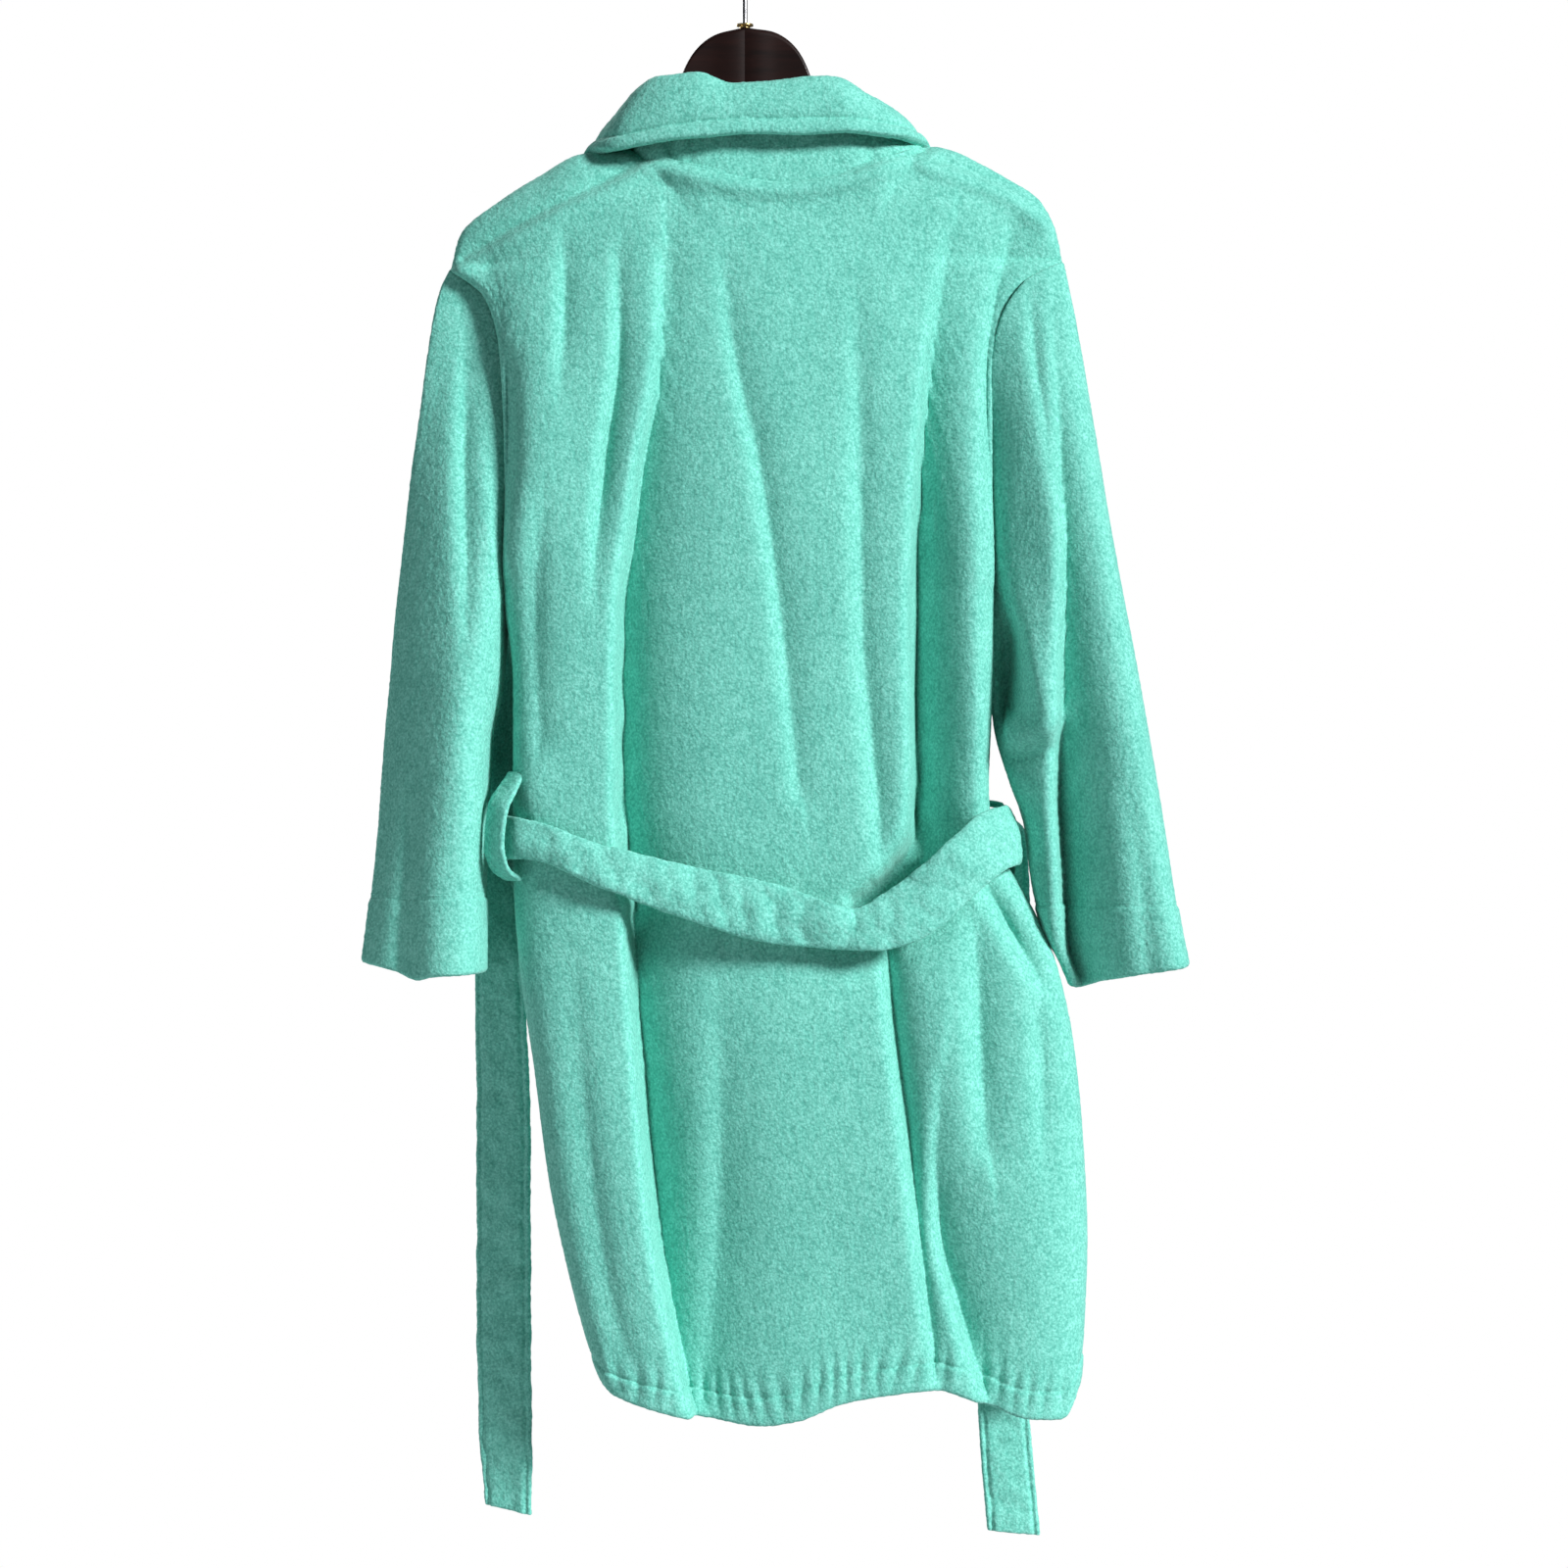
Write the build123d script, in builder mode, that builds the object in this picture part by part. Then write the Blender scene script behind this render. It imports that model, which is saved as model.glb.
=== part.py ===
"""Short terry bathrobe on a contoured wooden hanger.

Millimetres. The origin is the axis of the rail that the hook hangs from. +Z is up, +X is the wearer's
right and +Y is the way the wearer faces, so the robe's back faces -Y.

Every cloth panel is a layer cut from one body surface: a stack of rounded sections that follow the way
the robe hangs from the hanger. A layer lies between two offsets of that surface.
"""
import os
from math import acos, cos, degrees, radians, sin

from build123d import *

os.makedirs("parts", exist_ok=True)

# ---- cloth ----
CLOTH = 4.0            # one layer of terry with its pile
LAYER_GAP = 0.5        # air between one layer and the next
SEAM_GAP = 0.3         # half of the air left where two panels meet

# ---- body of the robe: height, left edge, right edge, depth ----
NECK_Z = -150.0
HEM_Z = -1114.0
BODY_SECTIONS = [
    (NECK_Z, -84, 143, 84),
    (-172, -158, 196, 76),
    (-214, -212, 234, 70),
    (-250, -222, 240, 74),
    (-290, -196, 205, 92),
    (-380, -190, 193, 110),
    (-485, -182, 186, 120),
    (-640, -180, 184, 124),
    (-700, -175, 190, 125),
    (-776, -166, 236, 126),
    (-934, -147, 257, 128),
    (-1050, -121, 257, 128),
    (HEM_Z, -112, 256, 126),
]
CORNER_SHARE = 0.42    # corner radius of a section as a share of its depth
LEVEL_RISE = 0.8       # how far a section rises for each millimetre that it grows
BODY_REACH = 400.0     # past the robe's edges on every side

# ---- front opening, as distances from the line where the two fronts meet ----
OPENING_X = 35.0
EDGE_HALF_GAP = 2.0
FOLD_OUT = 62.0        # fold line on which the free edge of a front swings open
NECK_OUT = 119.0       # where the neckline leaves the shoulder
WAIST_V_Z = -560.0     # foot of the V neckline
LAPEL_FOOT_Z = -640.0
BAND_WIDTH = 35.0

# ---- patch pockets ----
POCKET_IN, POCKET_OUT = 68.0, 178.0
POCKET_TOP_Z, POCKET_FOOT_Z = -790.0, -940.0
POCKET_ROOM = 9.5      # how far the pocket's bag stands off the front

# ---- sleeves: height, inner edge, outer edge, depth, middle in Y ----
LEFT_SLEEVE_SECTIONS = [
    (-262, -216, -234, 50, 0),
    (-290, -199.5, -236, 70, -2),
    (-380, -193.5, -247, 98, -5),
    (-485, -185.5, -258, 110, -8),
    (-565, -187, -265, 108, -11),
    (-610, -196, -268, 106, -13),
    (-777, -197, -286, 104, -22),
]
RIGHT_SLEEVE_SECTIONS = [
    (-262, 232, 249, 50, 0),
    (-290, 208.5, 252, 70, 0),
    (-380, 196.5, 268, 98, -3),
    (-485, 189.5, 285, 110, -6),
    (-588, 192, 302, 112, -9),
    (-630, 215, 310, 110, -11),
    (-709, 222, 323, 108, -14),
    (-777, 248, 334, 104, -16),
]
CUFF_TOP_Z = -722.0

# ---- collar: height, left edge, right edge, depth ----
STAND_SECTIONS = [(-149.5, -80, 139, 76), (-91, -73, 80, 64)]
FALL_SECTIONS = [(-135, -109, 134, 104), (-90.5, -80, 88, 76)]
FALL_CAP = (-69, 76, 56)     # hole in the fold at the collar's top: left edge, right edge, depth
COLLAR_MOUTH = 62.0          # half the gap at the throat
COLLAR_MOUTH_X = 30.0

# ---- belt ----
BELT_WIDTH = 43.0
BELT_CENTRE = [
    (-204, -676), (-176, -677), (-110, -697), (-30, -720), (35, -737),
    (90, -744), (140, -726), (190, -682), (218, -679),
]
BELT_TRACK = (-186.5, 208, 138)          # left edge, right edge, depth of the loop that the belt lies on
BELT_FRONT_Y = 38.0                    # how far forward the belt goes before the left tail drops
BELT_FRONT_X = 181.0                   # how far it comes back across the right front
TAIL_TOP_Z = -703.0
LEFT_TAIL = (-194.5, 38.0, -1199.0)    # middle X, middle Y, foot Z
RIGHT_TAIL = (203.0, 82.0, -1226.0)
TAIL_LEFT_WIDTH = 36.0                 # the left tail hangs a little edge-on

# ---- belt loops ----
LOOP_WIDTH = 15.0
LOOP_STRAP = 3.0
LOOP_FOOT_Z = -707.0
LEFT_LOOP = (-181.5, -193.5, -627.0)   # foot against the robe, outside of the strap, top
RIGHT_LOOP = (195.5, 213.5, -641.0)

# ---- hanging loop and labels ----
HANG_LOOP_X, HANG_LOOP_Y, HANG_LOOP_Z = 30.0, -28.0, -152.0
HANG_LOOP_RADIUS, HANG_LOOP_TAPE, HANG_LOOP_THICK = 32.0, 6.0, 1.5
NECK_LABEL = (46.0, 24.0)
CARE_LABEL = (28.0, 40.0)
CARE_LABEL_AT = (-155.0, 0.0, -775.0)
LABEL_THICK = 0.8

# ---- hanger: distance from the middle, top, bottom, middle in Y, thickness ----
ARM_SECTIONS = [
    (0, -55, -141, 0, 14),
    (22, -60, -142, 0, 14),
    (40, -74, -145, 0, 14),
    (53, -104, -152, 0, 14),
    (66, -140, -166, 1, 14),
    (80, -154, -172, 1, 15),
    (105, -161, -178, 2, 17),
    (150, -173, -193, 4, 24),
    (186, -196, -220, 6, 32),
    (201, -213, -229, 6, 24),
]
ARM_ROUNDING = 0.32    # edge radius of the wood as a share of its smaller side
HANGER_TILT = 2.5      # degrees, left end low
DOWEL_RADIUS, DOWEL_LENGTH, DOWEL_HEIGHTS = 3.5, 36.0, (-118.0, -130.0)
PIN_CLEARANCE = 0.05

# ---- hook ----
WIRE = 4.0             # wire diameter
EYE_RADIUS = 20.5      # to the middle of the wire
NECK_BEND = 10.0       # bend where the shank runs into the eye
HOOK_TIP = 190.0       # degrees round the eye from +X
SHANK_FOOT_Z = -104.0
RIVET_RADIUS, RIVET_THICK = 4.2, 2.5
RIVET_ROOM, RIVET_POCKET = 1.3, 9.0    # air round the rivet and depth of its pocket in the wood
FERRULE_RADIUS, FERRULE_FOOT_Z, FERRULE_TOP_Z = 4.0, -100.5, -54.0
FLANGE_RADIUS, FLANGE_THICK = 6.5, 1.2
SWIVEL_CLEARANCE = 0.1


def finish(part, label):
    """Name a part and write it."""
    part.label = label
    export_step(part, f"parts/{label}.step")


def rounded_stack(sections, grow=0.0):
    """Solid through rounded sections (height, left edge, right edge, depth), each grown all round.

    The sections between the two ends also rise with the growth, so that a layer keeps its thickness
    where the surface lies nearly level, as on a shoulder.
    """
    with BuildPart() as stack:
        for place, (height, left, right, depth) in enumerate(sections):
            rise = LEVEL_RISE * grow if 0 < place < len(sections) - 1 else 0.0
            with BuildSketch(Plane.XY.offset(height + rise)):
                with Locations(((left + right) / 2, 0)):
                    RectangleRounded(
                        right - left + 2 * grow,
                        depth + 2 * grow,
                        CORNER_SHARE * depth + grow,
                    )
        loft(ruled=True)
    return stack.part


def tube_stack(sections, grow=0.0):
    """Solid through oval sections (height, inner edge, outer edge, depth, middle), each grown all round."""
    with BuildPart() as stack:
        for height, inner, outer, depth, middle in sections:
            with BuildSketch(Plane.XY.offset(height)):
                with Locations(((inner + outer) / 2, middle)):
                    Ellipse(abs(outer - inner) / 2 + grow, depth / 2 + grow)
        loft(ruled=True)
    return stack.part


def outline_prism(outline, near, far):
    """Solid with a front-view outline, between two places in Y."""
    with BuildPart() as prism:
        with BuildSketch(Plane.XZ.offset(-far)):
            with BuildLine():
                Polyline(*outline, close=True)
            make_face()
        extrude(amount=far - near)
    return prism.part


def slab(bottom, top):
    """Everything between two heights."""
    reach = BODY_REACH
    return outline_prism([(-reach, bottom), (reach, bottom), (reach, top), (-reach, top)], -reach, reach)


def across(points, side):
    """Front-view points from (distance from the opening line, height), for side -1 left or +1 right."""
    return [(OPENING_X + side * out, height) for out, height in points]


BODY_SKINS = {
    grow: rounded_stack(BODY_SECTIONS, grow)
    for grow in (-CLOTH, 0.0, LAYER_GAP, LAYER_GAP + CLOTH, POCKET_ROOM, POCKET_ROOM + CLOTH)
}


def body_layer(inner, outer, outline, near, far):
    """Cloth between two offsets of the body surface, cut to a front-view outline."""
    with BuildPart() as layer:
        add(BODY_SKINS[outer])
        add(BODY_SKINS[inner], mode=Mode.SUBTRACT)
        add(outline_prism(outline, near, far), mode=Mode.INTERSECT)
    return layer.part


def base_layer(outline, near, far):
    """Main cloth of the robe."""
    return body_layer(-CLOTH, 0.0, outline, near, far)


def top_layer(outline):
    """Cloth sewn on the outside of a front."""
    return body_layer(LAYER_GAP, LAYER_GAP + CLOTH, outline, SEAM_GAP, BODY_REACH)


# ---- back ----
with BuildPart() as back_panel:
    add(BODY_SKINS[0.0])
    add(BODY_SKINS[-CLOTH], mode=Mode.SUBTRACT)
    with BuildSketch(Plane.XZ.offset(SEAM_GAP)):
        Rectangle(2 * BODY_REACH, 3 * BODY_REACH, align=(Align.CENTER, Align.MAX))
    extrude(amount=BODY_REACH, mode=Mode.INTERSECT)
finish(back_panel.part, "back_panel")

# ---- fronts, their free edges, bands, collar ends and lapels ----
NECKLINE_SLOPE = (NECK_Z - WAIST_V_Z) / (NECK_OUT - EDGE_HALF_GAP)
FOLD_NECKLINE_Z = NECK_Z - (NECK_OUT - FOLD_OUT) * NECKLINE_SLOPE
FOLD_HALF_GAP = 0.5
LAPEL_CHEST = (130.0, -380.0)    # where the collar is widest on the chest
LAPEL_WAIST = (55.0, WAIST_V_Z)
FOLD_LAPEL_Z = LAPEL_CHEST[1] - (LAPEL_CHEST[0] - FOLD_OUT) * (
    (LAPEL_CHEST[1] - LAPEL_WAIST[1]) / (LAPEL_CHEST[0] - LAPEL_WAIST[0])
)

outer_fold = FOLD_OUT + FOLD_HALF_GAP
inner_fold = FOLD_OUT - FOLD_HALF_GAP

FRONT_OUTLINE = [
    (NECK_OUT, NECK_Z), (outer_fold, FOLD_NECKLINE_Z), (outer_fold, HEM_Z),
    (BODY_REACH, HEM_Z), (BODY_REACH, NECK_Z),
]
EDGE_OUTLINE = [
    (inner_fold, FOLD_NECKLINE_Z), (EDGE_HALF_GAP, WAIST_V_Z), (EDGE_HALF_GAP, HEM_Z), (inner_fold, HEM_Z),
]
COLLAR_END_OUTLINE = [
    (NECK_OUT, NECK_Z), (outer_fold, FOLD_NECKLINE_Z), (outer_fold, FOLD_LAPEL_Z),
    LAPEL_CHEST, (165, -200), (155, NECK_Z),
]
LAPEL_OUTLINE = [
    (inner_fold, FOLD_NECKLINE_Z), (EDGE_HALF_GAP, WAIST_V_Z), (EDGE_HALF_GAP, LAPEL_FOOT_Z),
    LAPEL_WAIST, (inner_fold, FOLD_LAPEL_Z),
]
BAND_OUTLINE = [
    (EDGE_HALF_GAP, LAPEL_FOOT_Z - 1), (EDGE_HALF_GAP + BAND_WIDTH, LAPEL_FOOT_Z - 1),
    (EDGE_HALF_GAP + BAND_WIDTH, HEM_Z), (EDGE_HALF_GAP, HEM_Z),
]
POCKET_OUTLINE = [
    (POCKET_IN, POCKET_TOP_Z), (POCKET_OUT, POCKET_TOP_Z), (POCKET_OUT, POCKET_FOOT_Z), (POCKET_IN, POCKET_FOOT_Z),
]
POCKET_BAG = [
    (POCKET_IN + CLOTH, POCKET_TOP_Z + 1), (POCKET_OUT - CLOTH, POCKET_TOP_Z + 1),
    (POCKET_OUT - CLOTH, POCKET_FOOT_Z + CLOTH), (POCKET_IN + CLOTH, POCKET_FOOT_Z + CLOTH),
]

for side, name in ((-1, "left"), (1, "right")):
    finish(base_layer(across(FRONT_OUTLINE, side), SEAM_GAP, BODY_REACH), f"{name}_front_panel")
    finish(base_layer(across(EDGE_OUTLINE, side), SEAM_GAP, BODY_REACH), f"{name}_front_edge")
    finish(top_layer(across(COLLAR_END_OUTLINE, side)), f"{name}_collar_end")
    finish(top_layer(across(LAPEL_OUTLINE, side)), f"{name}_lapel")
    finish(top_layer(across(BAND_OUTLINE, side)), f"{name}_front_band")

    with BuildPart() as pocket:
        add(body_layer(LAYER_GAP, POCKET_ROOM + CLOTH, across(POCKET_OUTLINE, side), SEAM_GAP, BODY_REACH))
        add(body_layer(0.0, POCKET_ROOM, across(POCKET_BAG, side), SEAM_GAP, BODY_REACH), mode=Mode.SUBTRACT)
    finish(pocket.part, f"{name}_pocket")

# ---- sleeves and cuffs ----
for name, sections in (("left", LEFT_SLEEVE_SECTIONS), ("right", RIGHT_SLEEVE_SECTIONS)):
    with BuildPart() as sleeve:
        add(tube_stack(sections))
        add(tube_stack(sections, -CLOTH), mode=Mode.SUBTRACT)
        add(slab(CUFF_TOP_Z, 0), mode=Mode.INTERSECT)
    finish(sleeve.part, f"{name}_sleeve")

    with BuildPart() as cuff:
        add(tube_stack(sections))
        add(tube_stack(sections, -CLOTH), mode=Mode.SUBTRACT)
        add(slab(-BODY_REACH * 3, CUFF_TOP_Z - SEAM_GAP), mode=Mode.INTERSECT)
    finish(cuff.part, f"{name}_cuff")

# ---- collar ----
throat = outline_prism(
    [
        (COLLAR_MOUTH_X - COLLAR_MOUTH, NECK_Z - 1), (COLLAR_MOUTH_X + COLLAR_MOUTH, NECK_Z - 1),
        (COLLAR_MOUTH_X + COLLAR_MOUTH, 0), (COLLAR_MOUTH_X - COLLAR_MOUTH, 0),
    ],
    0, BODY_REACH,
)

with BuildPart() as collar_stand:
    add(rounded_stack(STAND_SECTIONS))
    add(rounded_stack(STAND_SECTIONS, -CLOTH), mode=Mode.SUBTRACT)
    add(throat, mode=Mode.SUBTRACT)
finish(collar_stand.part, "collar_stand")

with BuildPart() as collar_fall:
    add(rounded_stack(FALL_SECTIONS))
    add(rounded_stack(FALL_SECTIONS, -CLOTH), mode=Mode.SUBTRACT)
    fold_height, fold_left, fold_right, fold_depth = FALL_SECTIONS[-1]
    with BuildSketch(Plane.XY.offset(fold_height)):
        with Locations(((fold_left + fold_right) / 2, 0)):
            RectangleRounded(fold_right - fold_left, fold_depth, CORNER_SHARE * fold_depth)
        hole_left, hole_right, hole_depth = FALL_CAP
        with Locations(((hole_left + hole_right) / 2, 0)):
            RectangleRounded(
                hole_right - hole_left, hole_depth, CORNER_SHARE * hole_depth, mode=Mode.SUBTRACT
            )
    extrude(amount=CLOTH)
    add(throat, mode=Mode.SUBTRACT)
finish(collar_fall.part, "collar_fall")

# ---- belt ----
half_belt = BELT_WIDTH / 2
track_left, track_right, track_depth = BELT_TRACK
track = [(height, track_left, track_right, track_depth) for height in (-800, -600)]

with BuildPart() as belt_span:
    with BuildSketch(Plane.XZ.offset(-BELT_FRONT_Y)):
        with BuildLine():
            upper = Spline(*[(x, z + half_belt) for x, z in BELT_CENTRE])
            lower = Spline(*[(x, z - half_belt) for x, z in BELT_CENTRE])
            Line(upper @ 0, lower @ 0)
            Line(upper @ 1, lower @ 1)
        make_face()
    extrude(amount=BODY_REACH)
    wrap_z = BELT_CENTRE[-1][1]
    with BuildSketch(Plane.XZ.offset(-BODY_REACH / 2)):
        with Locations((BELT_FRONT_X, wrap_z)):
            Rectangle(BODY_REACH, BELT_WIDTH, align=(Align.MIN, Align.CENTER))
    extrude(amount=BODY_REACH / 2)
    add(rounded_stack(track), mode=Mode.INTERSECT)
    add(rounded_stack(track, -CLOTH), mode=Mode.SUBTRACT)
finish(belt_span.part, "belt_back_span")

for name, (tail_x, tail_y, foot), width in (
    ("left", LEFT_TAIL, TAIL_LEFT_WIDTH), ("right", RIGHT_TAIL, BELT_WIDTH),
):
    with BuildPart() as tail:
        with BuildSketch(Plane.XY.offset(foot)):
            with Locations((tail_x, tail_y)):
                Rectangle(width, CLOTH)
        extrude(amount=TAIL_TOP_Z - foot)
    finish(tail.part, f"belt_{name}_tail")

# ---- belt loops ----
for name, (foot_x, outside_x, top_z) in (("left", LEFT_LOOP), ("right", RIGHT_LOOP)):
    toward_robe = 1 if foot_x > outside_x else -1
    inside_x = outside_x + toward_robe * LOOP_STRAP
    with BuildPart() as belt_loop:
        with BuildSketch(Plane.XZ.offset(-LOOP_WIDTH / 2)):
            with BuildLine():
                Polyline(
                    (foot_x, top_z), (outside_x, top_z), (outside_x, LOOP_FOOT_Z),
                    (foot_x, LOOP_FOOT_Z), (foot_x, LOOP_FOOT_Z + LOOP_STRAP),
                    (inside_x, LOOP_FOOT_Z + LOOP_STRAP), (inside_x, top_z - LOOP_STRAP),
                    (foot_x, top_z - LOOP_STRAP), close=True,
                )
            make_face()
        extrude(amount=LOOP_WIDTH)
    finish(belt_loop.part, f"{name}_belt_loop")

# ---- hanging loop and labels ----
with BuildPart() as hang_loop:
    with BuildSketch(Plane.XZ.offset(-HANG_LOOP_Y)):
        with Locations((HANG_LOOP_X, HANG_LOOP_Z)):
            Circle(HANG_LOOP_RADIUS)
            Circle(HANG_LOOP_RADIUS - HANG_LOOP_TAPE, mode=Mode.SUBTRACT)
            Rectangle(
                3 * HANG_LOOP_RADIUS, HANG_LOOP_RADIUS,
                align=(Align.CENTER, Align.MIN), mode=Mode.SUBTRACT,
            )
    extrude(amount=HANG_LOOP_THICK)
finish(hang_loop.part, "hang_loop")

with BuildPart() as neck_label:
    with Locations((HANG_LOOP_X, HANG_LOOP_Y, HANG_LOOP_Z - HANG_LOOP_RADIUS - NECK_LABEL[1])):
        Box(NECK_LABEL[0], LABEL_THICK, NECK_LABEL[1])
finish(neck_label.part, "neck_label")

with BuildPart() as care_label:
    with Locations(CARE_LABEL_AT):
        Box(LABEL_THICK, CARE_LABEL[0], CARE_LABEL[1])
finish(care_label.part, "care_label")

# ---- hanger ----
tilt = sin(radians(HANGER_TILT))

with BuildPart() as dowels:
    for height in DOWEL_HEIGHTS:
        with Locations(Plane.YZ.offset(-DOWEL_LENGTH / 2)):
            with Locations((0, height)):
                Cylinder(DOWEL_RADIUS, DOWEL_LENGTH, align=(Align.CENTER, Align.CENTER, Align.MIN))
finish(dowels.part, "hanger_dowels")

for side, name in ((-1, "left"), (1, "right")):
    with BuildPart() as arm:
        for out, top, bottom, middle, thick in ARM_SECTIONS:
            x = side * out
            height = top - bottom
            with BuildSketch(Plane.YZ.offset(x)):
                with Locations((middle, (top + bottom) / 2 + x * tilt)):
                    RectangleRounded(thick, height, ARM_ROUNDING * min(thick, height))
        loft()
        Cylinder(
            FERRULE_RADIUS + PIN_CLEARANCE, -FERRULE_FOOT_Z,
            align=(Align.CENTER, Align.CENTER, Align.MAX), mode=Mode.SUBTRACT,
        )
        with Locations((0, 0, FERRULE_FOOT_Z)):
            Cylinder(
                RIVET_RADIUS + RIVET_ROOM, RIVET_POCKET,
                align=(Align.CENTER, Align.CENTER, Align.MAX), mode=Mode.SUBTRACT,
            )
        for height in DOWEL_HEIGHTS:
            with Locations(Plane.YZ.offset(-DOWEL_LENGTH / 2 - 1)):
                with Locations((0, height)):
                    Cylinder(
                        DOWEL_RADIUS + PIN_CLEARANCE, DOWEL_LENGTH + 2,
                        align=(Align.CENTER, Align.CENTER, Align.MIN), mode=Mode.SUBTRACT,
                    )
    finish(arm.part, f"hanger_{name}_arm")

# ---- hook and its ferrule ----
with BuildPart() as ferrule:
    with Locations((0, 0, FERRULE_FOOT_Z)):
        Cylinder(
            FERRULE_RADIUS, FERRULE_TOP_Z - FERRULE_FOOT_Z,
            align=(Align.CENTER, Align.CENTER, Align.MIN),
        )
    with Locations((0, 0, FERRULE_TOP_Z)):
        Cylinder(FLANGE_RADIUS, FLANGE_THICK, align=(Align.CENTER, Align.CENTER, Align.MIN))
    with Locations((0, 0, FERRULE_FOOT_Z)):
        Cylinder(
            WIRE / 2 + SWIVEL_CLEARANCE, 2 * (FERRULE_TOP_Z - FERRULE_FOOT_Z),
            align=(Align.CENTER, Align.CENTER, Align.MIN), mode=Mode.SUBTRACT,
        )
finish(ferrule.part, "hook_ferrule")

neck_turn = acos(NECK_BEND / (NECK_BEND + EYE_RADIUS))
shank_top = -(NECK_BEND + EYE_RADIUS) * sin(neck_turn)

with BuildPart() as hook:
    with BuildLine(Plane.XZ):
        shank = Line((0, SHANK_FOOT_Z), (0, shank_top))
        bend = JernArc(shank @ 1, shank % 1, NECK_BEND, -degrees(neck_turn))
        JernArc(bend @ 1, bend % 1, EYE_RADIUS, HOOK_TIP + degrees(neck_turn))
    with BuildSketch(Plane.XY.offset(SHANK_FOOT_Z)):
        Circle(WIRE / 2)
    sweep()
    with Locations((0, 0, SHANK_FOOT_Z)):
        Cylinder(RIVET_RADIUS, RIVET_THICK, align=(Align.CENTER, Align.CENTER, Align.MIN))
    tip_angle = radians(HOOK_TIP)
    with Locations((EYE_RADIUS * cos(tip_angle), 0, EYE_RADIUS * sin(tip_angle))):
        Sphere(WIRE * 0.7)
finish(hook.part, "hook")
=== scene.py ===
"""A mint terry bathrobe on a wooden hanger: the looks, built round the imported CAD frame.

Metres, +Z up, seen from behind along +Y. Outlines are written in millimetres and scaled by MM.
"""
import math

import bmesh
import bpy
import numpy as np
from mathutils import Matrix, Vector, noise


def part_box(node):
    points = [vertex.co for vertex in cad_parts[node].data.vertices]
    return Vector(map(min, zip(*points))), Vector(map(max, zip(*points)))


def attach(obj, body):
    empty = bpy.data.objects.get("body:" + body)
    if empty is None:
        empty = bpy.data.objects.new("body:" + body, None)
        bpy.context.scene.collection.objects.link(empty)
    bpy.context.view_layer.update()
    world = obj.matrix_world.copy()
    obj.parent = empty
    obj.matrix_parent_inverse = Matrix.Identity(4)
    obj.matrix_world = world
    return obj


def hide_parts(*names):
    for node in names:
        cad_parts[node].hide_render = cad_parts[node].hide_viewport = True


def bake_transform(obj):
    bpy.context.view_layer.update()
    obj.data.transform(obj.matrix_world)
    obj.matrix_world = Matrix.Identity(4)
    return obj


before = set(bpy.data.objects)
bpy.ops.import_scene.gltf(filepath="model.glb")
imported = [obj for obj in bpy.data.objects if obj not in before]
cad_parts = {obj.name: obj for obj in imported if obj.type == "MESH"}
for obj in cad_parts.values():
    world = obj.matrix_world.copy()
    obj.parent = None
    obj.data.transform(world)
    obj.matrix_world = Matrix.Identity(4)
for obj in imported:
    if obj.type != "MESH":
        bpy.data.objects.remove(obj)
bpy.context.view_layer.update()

MM = 0.001
CLOTH = 4.0 * MM            # one layer of terry, loops and all
SEAM_LAP = 3.0 * MM         # how far two panels reach past their common seam
STITCH_WIDTH = 1.5 * MM     # how wide a row of stitches pinches the cloth

# ---------------------------------------------------------------- outlines, in millimetres
OPENING_X = 35              # where the two fronts meet
EDGE_GAP = 2                # each front stops this far from the opening line

LEFT_SIDE = [
    (-224, -240), (-197, -262), (-185, -300), (-181, -360), (-180, -420), (-182, -480),
    (-174, -560), (-174, -640), (-174, -700), (-169, -776), (-159, -844), (-147, -934),
    (-133, -1001), (-117, -1060), (-108, -1084),
]
RIGHT_SIDE = [
    (242, -235), (212, -252), (193, -285), (186, -330), (186, -400), (188, -484),
    (187, -560), (184, -640), (190, -680), (208, -712), (222, -738), (237, -776),
    (249, -835), (256, -910), (259, -979), (257, -1040), (254, -1086),
]
ARMHOLE_FOOT = {"left": -480, "right": -484}
ARMHOLE_TOP = {"left": -240, "right": -235}
SHOULDER_LEFT = [(-224, -240), (-217, -214), (-186, -188), (-157, -170), (-124, -153), (-84, -150)]
SHOULDER_RIGHT = [(141, -147), (160, -151), (179, -160), (198, -170), (225, -188), (238, -214), (242, -235)]
NECK_SEAM = [(-84, -150), (-60, -159), (-25, -168), (22, -175), (70, -170), (110, -158), (141, -147)]
BACK_HEM = [
    (-108, -1084), (-96, -1095), (-62, -1106), (-28, -1113), (11, -1118), (41, -1113), (75, -1099),
    (112, -1092), (142, -1089), (180, -1100), (214, -1112), (238, -1113), (254, -1086),
]
FRONT_HEM_LEFT = [(-108, -1084), (-96, -1098), (-60, -1106), (-20, -1110), (33, -1112)]
FRONT_HEM_RIGHT = [(37, -1112), (80, -1108), (140, -1104), (200, -1110), (238, -1112), (254, -1086)]
LEFT_EDGE = [
    (-84, -150), (-57, -240), (-27, -350), (3, -455), (30, -550), (33, -600), (33, -800), (33, -1112),
]
RIGHT_EDGE = [
    (141, -147), (124, -240), (97, -350), (67, -455), (40, -550), (37, -600), (37, -800), (37, -1112),
]

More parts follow.
